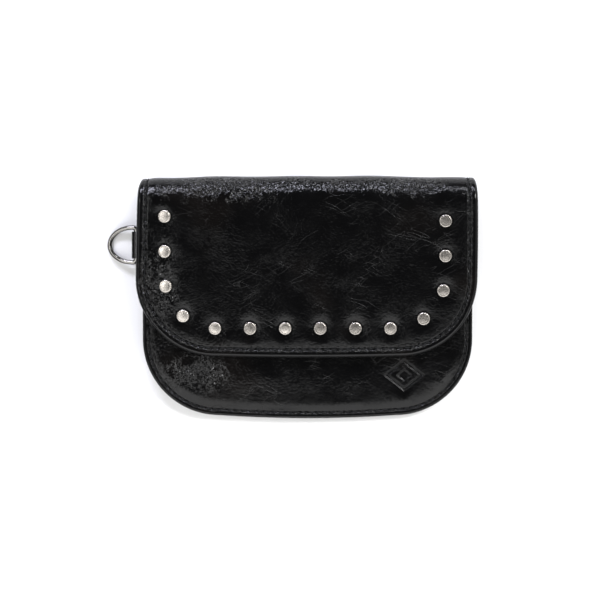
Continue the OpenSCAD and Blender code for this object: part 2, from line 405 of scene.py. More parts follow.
def add_rider(name: str, mesh: bpy.types.Mesh, slot: Slot, finish: bpy.types.Material,
              body: Body, node: str) -> None:
    """Add a piece that rides on one body.

    Args:
        name: the piece's name.
        mesh: its mesh, in metres.
        slot: the record's material slot.
        finish: the material it shows.
        body: the body it rides on.
        node: the node it stands for.
    """
    obj = new_object(name, mesh, slot, finish)
    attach(obj, body.value)
    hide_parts(node)


def finish_mesh(name: str, bm: bmesh.types.BMesh, sharp: float = 40.0) -> bpy.types.Mesh:
    """Clean a bmesh and turn it into a smooth-shaded mesh.

    Args:
        name: the mesh's name.
        bm: the bmesh, which is freed.
        sharp: angle in degrees above which an edge shades sharp.

    Returns:
        The mesh.
    """
    bmesh.ops.remove_doubles(bm, verts=bm.verts, dist=2e-6)
    bmesh.ops.dissolve_degenerate(bm, edges=bm.edges, dist=1e-7)
    loose = [v for v in bm.verts if not v.link_faces]
    bmesh.ops.delete(bm, geom=loose, context="VERTS")
    for face in bm.faces:
        face.smooth = True
    mesh = bpy.data.meshes.new(name)
    bm.to_mesh(mesh)
    bm.free()
    mesh.set_sharp_from_angle(angle=math.radians(sharp))
    return mesh


def arc(middle: Pair, radii: Pair, angles: Array) -> list[Pair]:
    """Points of an arc.

    Args:
        middle: its middle.
        radii: its two radii.
        angles: the angles of its points.

    Returns:
        The points.
    """
    (x, y), (rx, ry) = middle, radii
    return [(x + rx * math.cos(a), y + ry * math.sin(a)) for a in angles]


def join_rows(bm: bmesh.types.BMesh, rows: list[list[bmesh.types.BMVert]],
              uv: Optional[Callable[[int, int], Pair]] = None) -> None:
    """Join closed rows of points with four-sided faces.

    Args:
        bm: the mesh that holds the points.
        rows: the rows, each of the same length.
        uv: place on the hide of a point, from its row and its number in the row.
    """
    m = len(rows[0])
    layer = bm.loops.layers.uv.new(UV_NAME) if uv else None
    for i in range(len(rows) - 1):
        for j in range(m):
            corners = ((i, j), (i, j + 1), (i + 1, j + 1), (i + 1, j))
            made = bm.faces.new([rows[a][b % m] for a, b in corners])
            if uv:
                for loop, corner in zip(made.loops, corners):
                    loop[layer].uv = uv(*corner)


def turned_mesh(name: str, profile: Sequence[Pair], sides: int, sharp: float,
                place: Place) -> bpy.types.Mesh:
    """Turn a profile around its axis.

    Args:
        name: the mesh's name.
        profile: radius and height, in order.
        sides: points around.
        sharp: angle in degrees above which an edge shades sharp.
        place: turns offsets from the axis and height into points in millimetres.

    Returns:
        The mesh.
    """
    bm = bmesh.new()
    rings = []
    for r, h in profile:
        a = np.linspace(0, math.tau, sides if r > 0 else 1, endpoint=False)
        rings.append([bm.verts.new(p) for p in place(r * np.cos(a), r * np.sin(a), h) * MM])
    for a, b in zip(rings, rings[1:]):
        n = max(len(a), len(b))
        for j in range(n):
            k = (j + 1) % n
            quad = [a[j % len(a)], b[j % len(b)], b[k % len(b)], a[k % len(a)]]
            bm.faces.new(list(dict.fromkeys(quad)))
    bmesh.ops.recalc_face_normals(bm, faces=bm.faces)
    return finish_mesh(name, bm, sharp)


@dataclass
class Panel:
    """Flat pattern of one leather piece: points, distances from its sewn edge and faces."""

    points: Array
    edge: Array
    along: Array
    faces: list[tuple[int, ...]]

    def rim_edges(self) -> list[tuple[int, int]]:
        """Return the edges that only one face uses, in that face's order."""
        seen: dict[tuple[int, int], int] = {}
        for face in self.faces:
            for a, b in zip(face, face[1:] + face[:1]):
                seen[(a, b)] = 1
        return [(a, b) for a, b in seen if (b, a) not in seen]

    def shell(self, name: str, place: Place, top: Height, bottom: Height) -> bpy.types.Mesh:
        """Give the pattern its thickness.

        Args:
            name: the mesh's name.
            place: turns x, v and height into points in millimetres.
            top: height of the face side, from x, v and distance to the edge.
            bottom: height of the flesh side.

        Returns:
            A closed mesh with a map of the hide in metres.
        """
        x, v = self.points[:, 0], self.points[:, 1]
        upper = place(x, v, top(x, v, self.edge)) * MM
        lower = place(x, v, bottom(x, v, self.edge)) * MM
        n = len(x)
        bm = bmesh.new()
        verts = [bm.verts.new(p) for p in np.concatenate([upper, lower])]
        layer = bm.loops.layers.uv.new(UV_NAME)
        rim = bm.loops.layers.uv.new(EDGE_UV)
        flat = np.stack([x, v], 1) * MM
        under = flat + np.array([0.31, 0.0])
        depth = np.stack([self.edge, self.along], 1) * MM
        for face in self.faces:
            made = bm.faces.new([verts[i] for i in face])
            for loop, i in zip(made.loops, face):
                loop[layer].uv = flat[i]
                loop[rim].uv = depth[i]
            back = tuple(reversed(face))
            made = bm.faces.new([verts[i + n] for i in back])
            for loop, i in zip(made.loops, back):
                loop[layer].uv = under[i]
                loop[rim].uv = (0.0, 0.0)
        for a, b in self.rim_edges():
            made = bm.faces.new([verts[b], verts[a], verts[a + n], verts[b + n]])
            for loop, (i, low) in zip(made.loops, ((b, 0), (a, 0), (a, 1), (b, 1))):
                loop[layer].uv = flat[i] + np.array([0.0, 0.0007 * low])
                loop[rim].uv = (0.0, depth[i][1])
        return finish_mesh(name, bm)


def hex_grid(x0: float, x1: float, rows: Sequence[float], step: float) -> Array:
    """Points in staggered rows.

    Args:
        x0: left limit.
        x1: right limit.
        rows: the v of each row.
        step: distance between points in a row.

    Returns:
        The points, one row each.
    """
    out = []
    for j, v in enumerate(rows):
        xs = np.arange(x0 + (j % 2) * step / 2, x1, step)
        out.append(np.stack([xs, np.full_like(xs, v)], 1))
    return np.concatenate(out)


def grid_faces(rows: int, n: int) -> list[tuple[int, ...]]:
    """Faces between rows of points.

    Args:
        rows: number of rows.
        n: points in a row.

    Returns:
        The faces as numbers of points, row by row.
    """
    starts = (j * n + i for j in range(rows - 1) for i in range(n - 1))
    return [(a, a + 1, a + n + 1, a + n) for a in starts]


@dataclass
class Cutter:
    """Cuts panels with U-shaped outlines and fills them with faces."""

    step: float = SIZE.stitch_pitch / 6
    fill_step: float = 1.5
    margin: float = 0.45
    clear: float = 0.25
    hole_sides: int = 56

    def cut(self, line: ULine, scale: Scale, fine_rows: Sequence[float], inset: float = 0.0,
            extra: Sequence[Array] = (), holes: Sequence[tuple[float, float, float]] = ()) -> Panel:
        """Cut one panel.

        Args:
            line: the panel's outer edge; its high end is cut straight across.
            scale: how much the edge rows' distances shrink, from v.
            fine_rows: the v of every row of filling points.
            inset: nominal distance of this layer's own edge from the outer edge.
            extra: groups of extra points where more detail is needed.
            holes: round holes as x, v and radius.

        Returns:
            The panel.
        """
        rows = [r for r in EDGE.rows() if r >= inset]
        if rows[0] > inset:
            rows.insert(0, inset)
        s = np.linspace(0.0, line.length(), round(line.length() / self.step) + 1)
        base, normal = line.at(s)
        k = scale(base[:, 1])
        n = len(s)
        points = [base + normal * (r * k)[:, None] for r in rows]
        first = (len(rows) - 1) * n
        fresh, more = self._fill(points[-1], line.high, first, extra, holes, fine_rows)
        edge = np.concatenate([np.repeat(rows, n), np.full(len(fresh), EDGE.middle())])
        along = np.concatenate([np.tile(s, len(rows)), np.zeros(len(fresh))])
        return Panel(np.concatenate([*points, fresh]), edge, along, grid_faces(len(rows), n) + more)

    def _fill(self, inner: Array, high: float, first: int, extra: Sequence[Array],
              holes: Sequence[tuple[float, float, float]],
              fine_rows: Sequence[float]) -> tuple[Array, list[tuple[int, ...]]]:
        """Fill the middle of a panel with triangles.

        Args:
            inner: innermost row of points.
            high: v of the straight cut.
            first: number of the innermost row's first point.
            extra: groups of extra points.
            holes: round holes.
            fine_rows: the v of every row of filling points.

        Returns:
            The new points and the triangles.
        """
        x0, x1 = inner[0, 0], inner[-1, 0]
        lid = np.arange(x0 + self.fill_step, x1 - self.fill_step / 2, self.fill_step)[::-1]
        ring = np.concatenate([inner, np.stack([lid, np.full_like(lid, high)], 1)])
        grid = hex_grid(x0, x1, fine_rows, self.fill_step)
        loose = np.concatenate([grid, *extra])
        keep = self._inside(loose, inner, high)
        for group in extra:
            keep[: len(grid)] &= ~self._near(grid, group)
        start = len(ring)
        edges = [(i, (i + 1) % start) for i in range(start)]
        circles = []
        for cx, cv, r in holes:
            a = np.linspace(0, math.tau, self.hole_sides, endpoint=False)
            circles.append(np.stack([cx + r * np.cos(a), cv + r * np.sin(a)], 1))
            keep &= np.hypot(loose[:, 0] - cx, loose[:, 1] - cv) > r + self.clear
            edges += [(start + i, start + (i + 1) % len(a)) for i in range(len(a))]
            start += len(a)
        every = np.concatenate([ring, *circles, loose[keep]])
        out, _, tris, origin, *_ = delaunay_2d_cdt([Vector(p) for p in every], edges, [], 1, 1e-7)
        index, fresh = [], []
        for p, sources in zip(out, origin):
            known = [o for o in sources if o < len(inner)]
            index.append(first + known[0] if known else first + len(inner) + len(fresh))
            if not known:
                fresh.append((p.x, p.y))
        faces = []
        for tri in tris:
            middle = sum((out[i] for i in tri), Vector((0.0, 0.0))) / len(tri)
            if all(math.hypot(middle.x - cx, middle.y - cv) >= r for cx, cv, r in holes):
                faces.append(tuple(index[i] for i in tri))
        return np.array(fresh), faces

    @staticmethod
    def _near(points: Array, group: Array) -> Array:
        """Tell which points lie inside the box of a group of finer points."""
        low, high = group.min(0) - 0.4, group.max(0) + 0.4
        return ((points > low) & (points < high)).all(1)

    def _inside(self, points: Array, inner: Array, high: float) -> Array:
        """Tell which points lie inside the innermost row, with a small margin."""
        ring = np.concatenate([inner, [[inner[-1, 0], high]], [[inner[0, 0], high]]])
        x, v = points[:, 0], points[:, 1]
        odd = np.zeros(len(points), bool)
        close = np.full(len(points), 1e9)
        for a, b in zip(ring, np.roll(ring, -1, 0)):
            crosses = (a[1] > v) != (b[1] > v)
            with np.errstate(divide="ignore", invalid="ignore"):
                at = (b[0] - a[0]) * (v - a[1]) / (b[1] - a[1]) + a[0]
            odd ^= crosses & (x < at)
            d = b - a
            t = np.clip(((points - a) @ d) / max(float(d @ d), 1e-9), 0, 1)
            close = np.minimum(close, np.hypot(*(points - a - t[:, None] * d).T))
        return odd & (close > self.margin)


CUTTER = Cutter()


@dataclass
class EdgeShape:
    """Height of a sewn leather edge: rolled rim, seam groove and filled middle."""

    thick: float
    puff: float = 0.22
    groove: float = 0.36
    grain: Optional[Grain] = None

    def round_off(self, d: Array) -> Array:
        """Drop of the rolled edge below the face, from the distance to the edge."""
        r = self.thick / 2
        t = np.clip(d, 0.0, r)
        return r - np.sqrt(np.maximum(r * r - (r - t) ** 2, 0.0))

    def face(self, x: Array, v: Array, d: Array) -> Array:
        """Height of the face side."""
        h = -self.round_off(d) + 0.04 * bell(d - 1.35, 0.55)
        h = h - self.groove * bell(d - EDGE.seam, 0.52)
        h = h + self.puff * smooth(EDGE.seam + 0.4, EDGE.seam + 4.0, d)
        return h + self.grain.at(x, v) * smooth(1.5, 6.0, d)


def bedded(rim: Array, d: Array) -> Array:
    """Height of a flesh side: the rolled rim, then the bed of the lining."""
    bed = smooth(1.31, 1.44, d)
    return rim * (1 - bed) - SIZE.leather * bed


def seam_places(line: ULine, scale: Scale, offset: float) -> tuple[Array, Array]:
    """Places along a seam, one for each stitch.

    Args:
        line: the leather's outer edge.
        scale: how much the seam's distance shrinks, from v.
        offset: 0.5 for the middle of each stitch, 0 for the holes between stitches.

    Returns:
        The points and the headings along the seam.
    """
    count = int(line.length() // SIZE.stitch_pitch)
    s = (np.arange(1 if offset == 0 else 0, count) + offset) * line.length() / count
    base, normal = line.at(s)
    points = base + normal * (EDGE.seam * scale(base[:, 1]))[:, None]
    return points, np.stack([normal[:, 1], -normal[:, 0]], 1)


def with_holes(face: Height, spots: Array, depth: float, width: float) -> Height:
    """Add the needle holes of a seam to a face.

    Args:
        face: the height without holes.
        spots: middle of every hole.
        depth: how deep they go.
        width: how wide they are.

    Returns:
        The height with holes.
    """
    def height(x: Array, v: Array, d: Array) -> Array:
        h = face(x, v, d)
        near = np.abs(d - EDGE.seam) < HOLE_REACH
        gap = np.full(int(near.sum()), FAR)
        for hx, hv in spots:
            gap = np.minimum(gap, np.hypot(x[near] - hx, v[near] - hv))
        h[near] -= depth * bell(gap, width)
        return h

    return height


def stitch_mesh(name: str, starts: Array, heads: Array, place: Place, height: Height,
                width: float = 0.5, length: float = 2.15, sides: int = 10) -> bpy.types.Mesh:
    """Row of separate stitches that dive into the leather at both ends.

    Args:
        name: the mesh's name.
        starts: middle of each stitch as x and v.
        heads: direction of each stitch, as unit rows.
        place: turns x, v and height into points in millimetres.
        height: height of the leather face.
        width: thickness of the thread.
        length: length of a stitch.
        sides: points around the thread.

    Returns:
        One mesh with a map along each stitch.
    """
    rng = np.random.default_rng(SEED)
    stations = np.array([-0.5, -0.43, -0.3, -0.1, 0.1, 0.3, 0.43, 0.5])
    swell = np.array([0.45, 0.8, 0.97, 1.0, 1.0, 0.97, 0.8, 0.45])
    lift = np.array([-0.34, -0.16, 0.0, 0.05, 0.05, 0.0, -0.16, -0.34])
    a = np.linspace(0, math.tau, sides, endpoint=False)
    bm = bmesh.new()
    layer = bm.loops.layers.uv.new(UV_NAME)
    for k, (centre, head) in enumerate(zip(starts, heads)):
        tilt = rng.normal(0.045, 0.03)
        c, s = math.cos(tilt), math.sin(tilt)
        head = np.array([head[0] * c - head[1] * s, head[0] * s + head[1] * c])
        side = np.array([-head[1], head[0]])
        size = rng.uniform(0.94, 1.05)
        rings = []
        for t, w, up in zip(stations, swell, lift):
            r = width / 2 * w * size
            flat = centre + head * (t * length) + np.outer(np.cos(a) * r, side)
            seat = height(flat[:, 0], flat[:, 1], np.full(sides, EDGE.seam))
            h = seat + 0.4 * width / 2 + up + np.sin(a) * r
            rings.append([bm.verts.new(p) for p in place(flat[:, 0], flat[:, 1], h) * MM])
        for i in range(len(rings) - 1):
            for j in range(sides):
                spots = ((i, j), (i, j + 1), (i + 1, j + 1), (i + 1, j))
                made = bm.faces.new([rings[p][q % sides] for p, q in spots])
                for loop, (p, q) in zip(made.loops, spots):
                    along = (k * 1.3 + stations[p] + 0.5) * length
                    loop[layer].uv = (along * MM, q / sides * math.pi * width * MM)
        bm.faces.new(list(reversed(rings[0])))
        bm.faces.new(rings[-1])
    bmesh.ops.recalc_face_normals(bm, faces=bm.faces)
    return finish_mesh(name, bm, 80.0)


class Nodes:
    """Short way to write a material's nodes."""

    def __init__(self, name: str) -> None:
        """Start an empty material of that name."""
        self.material = bpy.data.materials.new(name)
        self.material.use_nodes = True
        self.tree = self.material.node_tree
        self.tree.nodes.clear()
        self.shader = self.add("BsdfPrincipled", {})
        self.add("OutputMaterial", {"Surface": self.shader.outputs["BSDF"]})

    def add(self, kind: str, inputs: dict, **values: object) -> bpy.types.Node:
        """Add a node.

        Args:
            kind: its type.
            inputs: what to link to its inputs or to set on them.
            values: its own settings.

        Returns:
            The node.
        """
        node = self.tree.nodes.new("ShaderNode" + kind)
        for key, value in values.items():
            setattr(node, key, value)
        for key, value in inputs.items():
            self.put(node, key, value)
        return node

    def put(self, node: bpy.types.Node, socket: object, value: object) -> None:
        """Link or set one input of a node."""
        if isinstance(value, Socket):
            self.tree.links.new(value, node.inputs[socket])
        else:
            node.inputs[socket].default_value = value

    def set(self, **values: object) -> None:
        """Set the shader's inputs, with underscores for spaces."""
        for key, value in values.items():
            self.put(self.shader, key.replace("_", " "), value)

    def math(self, operation: str, a: object, b: object = 0.0, c: object = 0.0) -> Socket:
        """Arithmetic on values."""
        return self.add("Math", {0: a, 1: b, 2: c}, operation=operation).outputs[0]

    def times(self, a: object, b: object) -> Socket:
        """Product of two values."""
        return self.math("MULTIPLY", a, b)

    def plus(self, a: object, b: object, base: object) -> Socket:
        """Product of two values on top of a base."""
        return self.math("MULTIPLY_ADD", a, b, base)

    def most(self, a: object, b: object) -> Socket:
        """Larger of two values."""
        return self.math("MAXIMUM", a, b)

    def vector(self, operation: str, inputs: dict) -> Socket:
        """Arithmetic on vectors."""
        return self.add("VectorMath", inputs, operation=operation).outputs[0]

    def axes(self, place: Socket) -> bpy.types.bpy_prop_collection:
        """The x, y and z of a place."""
        return self.add("SeparateXYZ", {0: place}).outputs

    def hide_place(self, stretch: Pair = (1.0, 1.0), uv_map: str = UV_NAME) -> Socket:
        """Place on the hide in millimetres, from the piece's own map."""
        uv = self.add("UVMap", {}, uv_map=uv_map).outputs["UV"]
        return self.vector("MULTIPLY", {0: uv, 1: (stretch[0] / MM, stretch[1] / MM, 1.0)})

    def object_place(self) -> Socket:
        """Place in the piece's own space, in millimetres."""
        co = self.add("TexCoord", {}).outputs["Object"]
        return self.vector("SCALE", {0: co, "Scale": 1 / MM})

    def turned(self, place: Socket, degrees: float, stretch: Pair) -> Socket:
        """Turn places about the hide's normal and stretch them."""
        turn = (0.0, 0.0, math.radians(degrees))
        inputs = {"Vector": place, "Rotation": turn, "Scale": (*stretch, 1.0)}
        return self.add("Mapping", inputs, vector_type="TEXTURE").outputs[0]

    def spot(self, place: Socket, middle: Pair, size: Pair) -> Socket:
        """Soft oval area that is 1 in its middle.

        Args:
            place: where it is measured.
            middle: its middle in millimetres.
            size: its half sizes in millimetres.

        Returns:
            The strength of the area.
        """
        inputs = {"Vector": place, "Location": (*middle, 0.0), "Scale": (*size, 1.0)}
        away = self.add("Mapping", inputs, vector_type="TEXTURE").outputs[0]
        length = self.add("VectorMath", {0: away}, operation="LENGTH")
        return self.ramp(length.outputs["Value"], 1.25, 0.35)

    def noise(self, place: Socket, size: float, detail: float = 2.0, rough: float = 0.5,
              out: str = "Fac") -> Socket:
        """Cloud noise with features of the given size in millimetres."""
        inputs = {"Vector": place, "Scale": 1 / size, "Detail": detail, "Roughness": rough}
        return self.add("TexNoise", inputs).outputs[out]

    def warp(self, place: Socket, size: float, by: float) -> Socket:
        """Push places about with noise.

        Args:
            place: the places to push.
            size: size of the noise in millimetres.
            by: how far it pushes, in millimetres.

        Returns:
            The pushed places.
        """
        cloud = self.noise(place, size, out="Color")
        return self.vector("MULTIPLY_ADD", {0: cloud, 1: (by, by, by), 2: place})

    def ridges(self, place: Socket, size: float, width: float, detail: float = 2.0) -> Socket:
        """Thin wandering lines, 1 on a line."""
        cloud = self.math("SUBTRACT", self.noise(place, size, detail, 0.55), 0.5)
        return self.ramp(self.math("ABSOLUTE", cloud), 0.0, width, (1.0, 0.0))

    def cells(self, place: Socket, size: float, feature: str = "F1",
              out: str = "Distance") -> Socket:
        """Cell pattern with cells of the given size in millimetres."""
        inputs = {"Vector": place, "Scale": 1 / size}
        return self.add("TexVoronoi", inputs, feature=feature).outputs[out]

    def facets(self, place: Socket, size: float, lean: object) -> Socket:
        """Small facets that each lean their own way.

        Args:
            place: where the facets are laid out.
            size: size of a facet in millimetres.
            lean: how far they lean, as a share.

        Returns:
            The leaning normal.
        """
        own = self.cells(place, size, out="Color")
        level = self.vector("SUBTRACT", {0: own, 1: (0.5, 0.5, 0.5)})
        scaled = self.vector("SCALE", {0: level, "Scale": lean})
        colour = self.vector("ADD", {0: scaled, 1: (0.5, 0.5, 1.0)})
        return self.add("NormalMap", {"Color": colour}, uv_map=UV_NAME).outputs["Normal"]

    def ramp(self, value: Socket, low: float, high: float, to: Pair = (0.0, 1.0)) -> Socket:
        """Smooth change of a value from one level to another."""
        inputs = {"Value": value, "From Min": low, "From Max": high,
                  "To Min": to[0], "To Max": to[1]}
        return self.add("MapRange", inputs, interpolation_type="SMOOTHSTEP").outputs["Result"]

    def mix(self, share: object, a: object, b: object) -> Socket:
        """Mix two colours."""
        a, b = (c if isinstance(c, Socket) else (*c, 1.0) for c in (a, b))
        return self.add("Mix", {"Factor": share, 6: a, 7: b}, data_type="RGBA").outputs[2]

    def bump(self, height: Socket, depth: float, below: Optional[Socket] = None) -> Socket:
        """Surface relief of the given depth in millimetres."""
        inputs = {"Height": height, "Strength": 1.0, "Distance": depth * MM}
        if below is not None:
            inputs["Normal"] = below
        return self.add("Bump", inputs).outputs["Normal"]


@dataclass(frozen=True)
class GlazedHide:
    """Black glazed leather: dark colours, size of its pebbles and its worn patches.

    A worn patch is x, v, half width, half height and strength, on the hide's map.
    """

    name: str = "glazed_black_hide"
    dark: Colour = (0.0011, 0.0011, 0.0012)
    warm: Colour = (0.0025, 0.002, 0.0018)
    scuffed: Colour = (0.012, 0.0115, 0.0115)
    pebble: float = 1.0
    drift_middle: float = 3.8
    worn: tuple[tuple[float, float, float, float, float], ...] = (
        (-34.0, 90.0, 27.0, 7.5, 1.0),
        (40.0, 91.0, 19.0, 5.5, 0.85),
        (0.0, 91.5, 60.0, 4.0, 0.5),
        (-57.0, 52.0, 9.0, 17.0, 0.62),
        (-42.0, 18.5, 17.0, 7.5, 0.75),
    )

    def worn_area(self, n: Nodes, place: Socket) -> Socket:
        """How worn the hide is, from 0 to 1."""
        worn = None
        for x, v, w, h, much in self.worn:
            area = n.times(n.spot(place, (x, v), (w, h)), much)
            worn = area if worn is None else n.most(worn, area)
        return worn

    def hair_lines(self, n: Nodes, place: Socket) -> Socket:
        """Long straight hair creases that cross each other."""
        bow = n.warp(place, 40.0, 16.0)
        hair = n.ridges(n.turned(bow, 34.0, (7.0, 1.0)), 3.4, 0.006, 1.0)
        hair = n.most(hair, n.ridges(n.turned(bow, -22.0, (8.0, 1.0)), 3.8, 0.005, 1.0))
        return n.times(hair, n.ramp(n.noise(place, 15.0), 0.47, 0.62))

    def pull_lines(self, n: Nodes, place: Socket) -> Socket:
        """Short pull wrinkles, in one direction here and in the other there."""
        swirl = n.warp(place, 24.0, 17.0)
        pull = n.ridges(n.turned(swirl, -32.0, (3.2, 1.0)), 0.85, 0.09)
        pull2 = n.ridges(n.turned(swirl, 48.0, (2.8, 1.0)), 1.0, 0.08)
        where = n.ramp(n.noise(place, 27.0, 1.0), 0.4, 0.62)
        return n.most(n.times(pull, where), n.times(pull2, n.math("SUBTRACT", 1.0, where)))

    def pebbles(self, n: Nodes, place: Socket, bent: Socket) -> Socket:
        """Height of the pebble grain."""
        small = n.cells(bent, self.pebble)
        coarse = n.cells(n.warp(place, 4.0, 1.4), self.pebble * 2.3, "SMOOTH_F1")
        level = n.plus(coarse, -0.4, n.times(n.times(small, small), -1.0))
        return n.plus(n.noise(place, 0.5, 1.0), 0.05, level)

    def make(self) -> bpy.types.Material:
        """Build the material."""
        n = Nodes(self.name)
        place = n.hide_place()
        edge = n.axes(n.hide_place(uv_map=EDGE_UV))
        depth, along = edge[0], edge[1]
        inside = n.ramp(depth, 0.7, 2.4)
        seam = n.times(n.ramp(depth, 1.9, 2.6), n.ramp(depth, 4.5, 3.7))

        drift = n.warp(n.warp(place, 1.4, 1.6), 7.0, 6.0)
        drift = n.vector("SUBTRACT", {0: drift, 1: (self.drift_middle,) * 3})
        worn = self.worn_area(n, drift)
        foot = n.ramp(n.axes(drift)[1], 7.0, 15.0, (0.15, 1.0))
        grain = n.plus(n.ramp(n.noise(place, 19.0), 0.42, 0.64), 0.14, 0.12)
        grain = n.times(n.most(grain, worn), n.plus(inside, 0.86, 0.14))
        grain = n.times(grain, foot)

        bent = n.warp(place, 2.2, 0.7)
        lean = n.plus(worn, 0.5, n.plus(seam, 0.38, 0.012))
        normal = n.facets(bent, 0.5, lean)
        normal = n.bump(n.times(self.pebbles(n, place, bent), grain), 0.22, normal)
        pulls = n.times(self.pull_lines(n, place), n.times(inside, foot))
        normal = n.bump(n.times(pulls, -1.0), 0.017, normal)
        hair = n.times(self.hair_lines(n, place), inside)
        normal = n.bump(n.times(hair, -1.0), 0.02, normal)

        pucker = n.math("SINE", n.times(along, math.tau / SIZE.stitch_pitch))
        near = n.times(n.ramp(depth, 1.6, 3.0), n.ramp(depth, 4.7, 3.4))
        uneven = n.plus(n.noise(place, 0.9, 1.0), 3.0, pucker)
        normal = n.bump(n.times(uneven, near), 0.045, normal)

        colour = n.mix(n.ramp(n.noise(place, 33.0), 0.5, 0.72), self.dark, self.warm)
        colour = n.mix(n.times(hair, 0.3), colour, self.scuffed)
        rough = n.ramp(n.noise(place, 8.0, 3.0), 0.3, 0.7, (0.135, 0.2))
        for area, much in ((worn, -0.06), (hair, 0.15), (seam, 0.14)):
            rough = n.plus(area, much, rough)
        n.set(Base_Color=colour, Roughness=rough, Normal=normal, IOR=1.28)
        return n.material


@dataclass(frozen=True)
class MattHide:
    """Matt black lining leather with a fine even grain."""

    name: str = "matt_lining_hide"
    dark: Colour = (0.0115, 0.011, 0.0112)
    pale: Colour = (0.02, 0.019, 0.019)

    def make(self) -> bpy.types.Material:
        """Build the material."""
        n = Nodes(self.name)
        place = n.hide_place()
        cells = n.cells(n.warp(place, 2.0, 0.5), 0.8, "SMOOTH_F1")
        grain = n.plus(n.noise(place, 0.35, 3.0), 0.5, n.times(cells, -1.0))
        colour = n.mix(n.ramp(n.noise(place, 12.0, 3.0), 0.3, 0.7), self.dark, self.pale)
        rough = n.ramp(n.noise(place, 5.0), 0.3, 0.7, (0.5, 0.66))
        n.set(Base_Color=colour, Roughness=rough, Normal=n.bump(grain, 0.05), IOR=1.42)
        return n.material


@dataclass(frozen=True)
class WaxedThread:
    """Waxed black thread of two twisted plies."""

    name: str = "waxed_black_thread"
    dark: Colour = (0.0015, 0.0015, 0.0017)
    pale: Colour = (0.0055, 0.0055, 0.006)
    twist: float = 0.62

    def make(self) -> bpy.types.Material:
        """Build the material."""
        n = Nodes(self.name)
        place = n.hide_place()
        axes = n.axes(place)
        ply = n.math("SINE", n.times(n.plus(axes[1], 1.6, axes[0]), math.tau / self.twist))
        fuzz = n.noise(place, 0.09)
        colour = n.mix(n.ramp(ply, -1.0, 1.0), self.dark, self.pale)
        n.set(Base_Color=colour, Roughness=n.ramp(fuzz, 0.3, 0.7, (0.42, 0.6)),
              Normal=n.bump(n.plus(fuzz, 0.5, ply), 0.035), IOR=1.26)
        return n.material


@dataclass(frozen=True)
class Nickel:
    """Nickel plate, satin or polished, with fine brush lines and small scratches. A low tint and a
    low edge tint paint shade into the polished copy's reflections and dark outlines on its edges.
    """

    name: str
    tint: Colour
    low: float
    high: float
    relief: float
    rim: float

    def make(self) -> bpy.types.Material:
        """Build the material."""
        n = Nodes(self.name)
        place = n.object_place()
        cloud = n.noise(place, 0.8, 3.0)
        brush = n.noise(n.turned(place, 38.0, (9.0, 1.0)), 0.3)
        scratch = n.math("SUBTRACT", n.noise(n.warp(place, 2.5, 0.8), 0.5, 1.0), 0.5)
        scratch = n.ramp(n.math("ABSOLUTE", scratch), 0.0, 0.012, (1.0, 0.0))
        dull = tuple(0.94 * c for c in self.tint)
        colour = n.mix(n.ramp(cloud, 0.35, 0.7), self.tint, dull)
        rough = n.plus(scratch, 0.12, n.ramp(cloud, 0.3, 0.7, (self.low, self.high)))
        grit = n.plus(brush, 1.6, n.noise(place, 0.11, 3.0, 0.6))
        normal = n.bump(n.plus(scratch, -0.4, grit), self.relief)
        n.set(Base_Color=colour, Roughness=rough, Normal=normal, Metallic=1.0,
              Specular_Tint=(self.rim, self.rim, self.rim, 1.0))
        return n.material


@dataclass(frozen=True)
class GreyBoard:
    """Grey-brown stiffening board with short fibres."""

    name: str = "stiffening_board"
    dark: Colour = (0.2, 0.17, 0.14)
    pale: Colour = (0.33, 0.3, 0.26)

    def make(self) -> bpy.types.Material:
        """Build the material."""
        n = Nodes(self.name)
        fibre = n.noise(n.hide_place((1.0, 0.35)), 0.5, 4.0, 0.7)
        colour = n.mix(n.ramp(fibre, 0.35, 0.65), self.dark, self.pale)
        n.set(Base_Color=colour, Roughness=n.ramp(fibre, 0.3, 0.7, (0.75, 0.9)),
              Normal=n.bump(fibre, 0.05))
        return n.material


@dataclass
class Finishes:
    """Every finish of the wallet, made once."""

    hide: bpy.types.Material = field(default_factory=lambda: GlazedHide().make())
    lining: bpy.types.Material = field(default_factory=lambda: MattHide().make())
    thread: bpy.types.Material = field(default_factory=lambda: WaxedThread().make())
    stud: bpy.types.Material = field(default_factory=lambda: Nickel(
        "satin_nickel", (0.475, 0.442, 0.404), 0.24, 0.3, 0.0035, 0.6).make())
    # The ring's nickel is painted far darker than the studs', with dark edges: painted shade and
    # painted dark reflections on the wire.
    wire: bpy.types.Material = field(default_factory=lambda: Nickel(
        "polished_nickel_painted_dark", (0.15, 0.145, 0.137), 0.12, 0.2, 0.001, 0.1).make())
    board: bpy.types.Material = field(default_factory=lambda: GreyBoard().make())

    def of(self, slot: Slot) -> bpy.types.Material:
        """Finish of a slot."""
        return {Slot.HIDE: self.hide, Slot.LINING: self.lining, Slot.THREAD: self.thread,
                Slot.NICKEL: self.stud, Slot.BOARD: self.board}[slot]


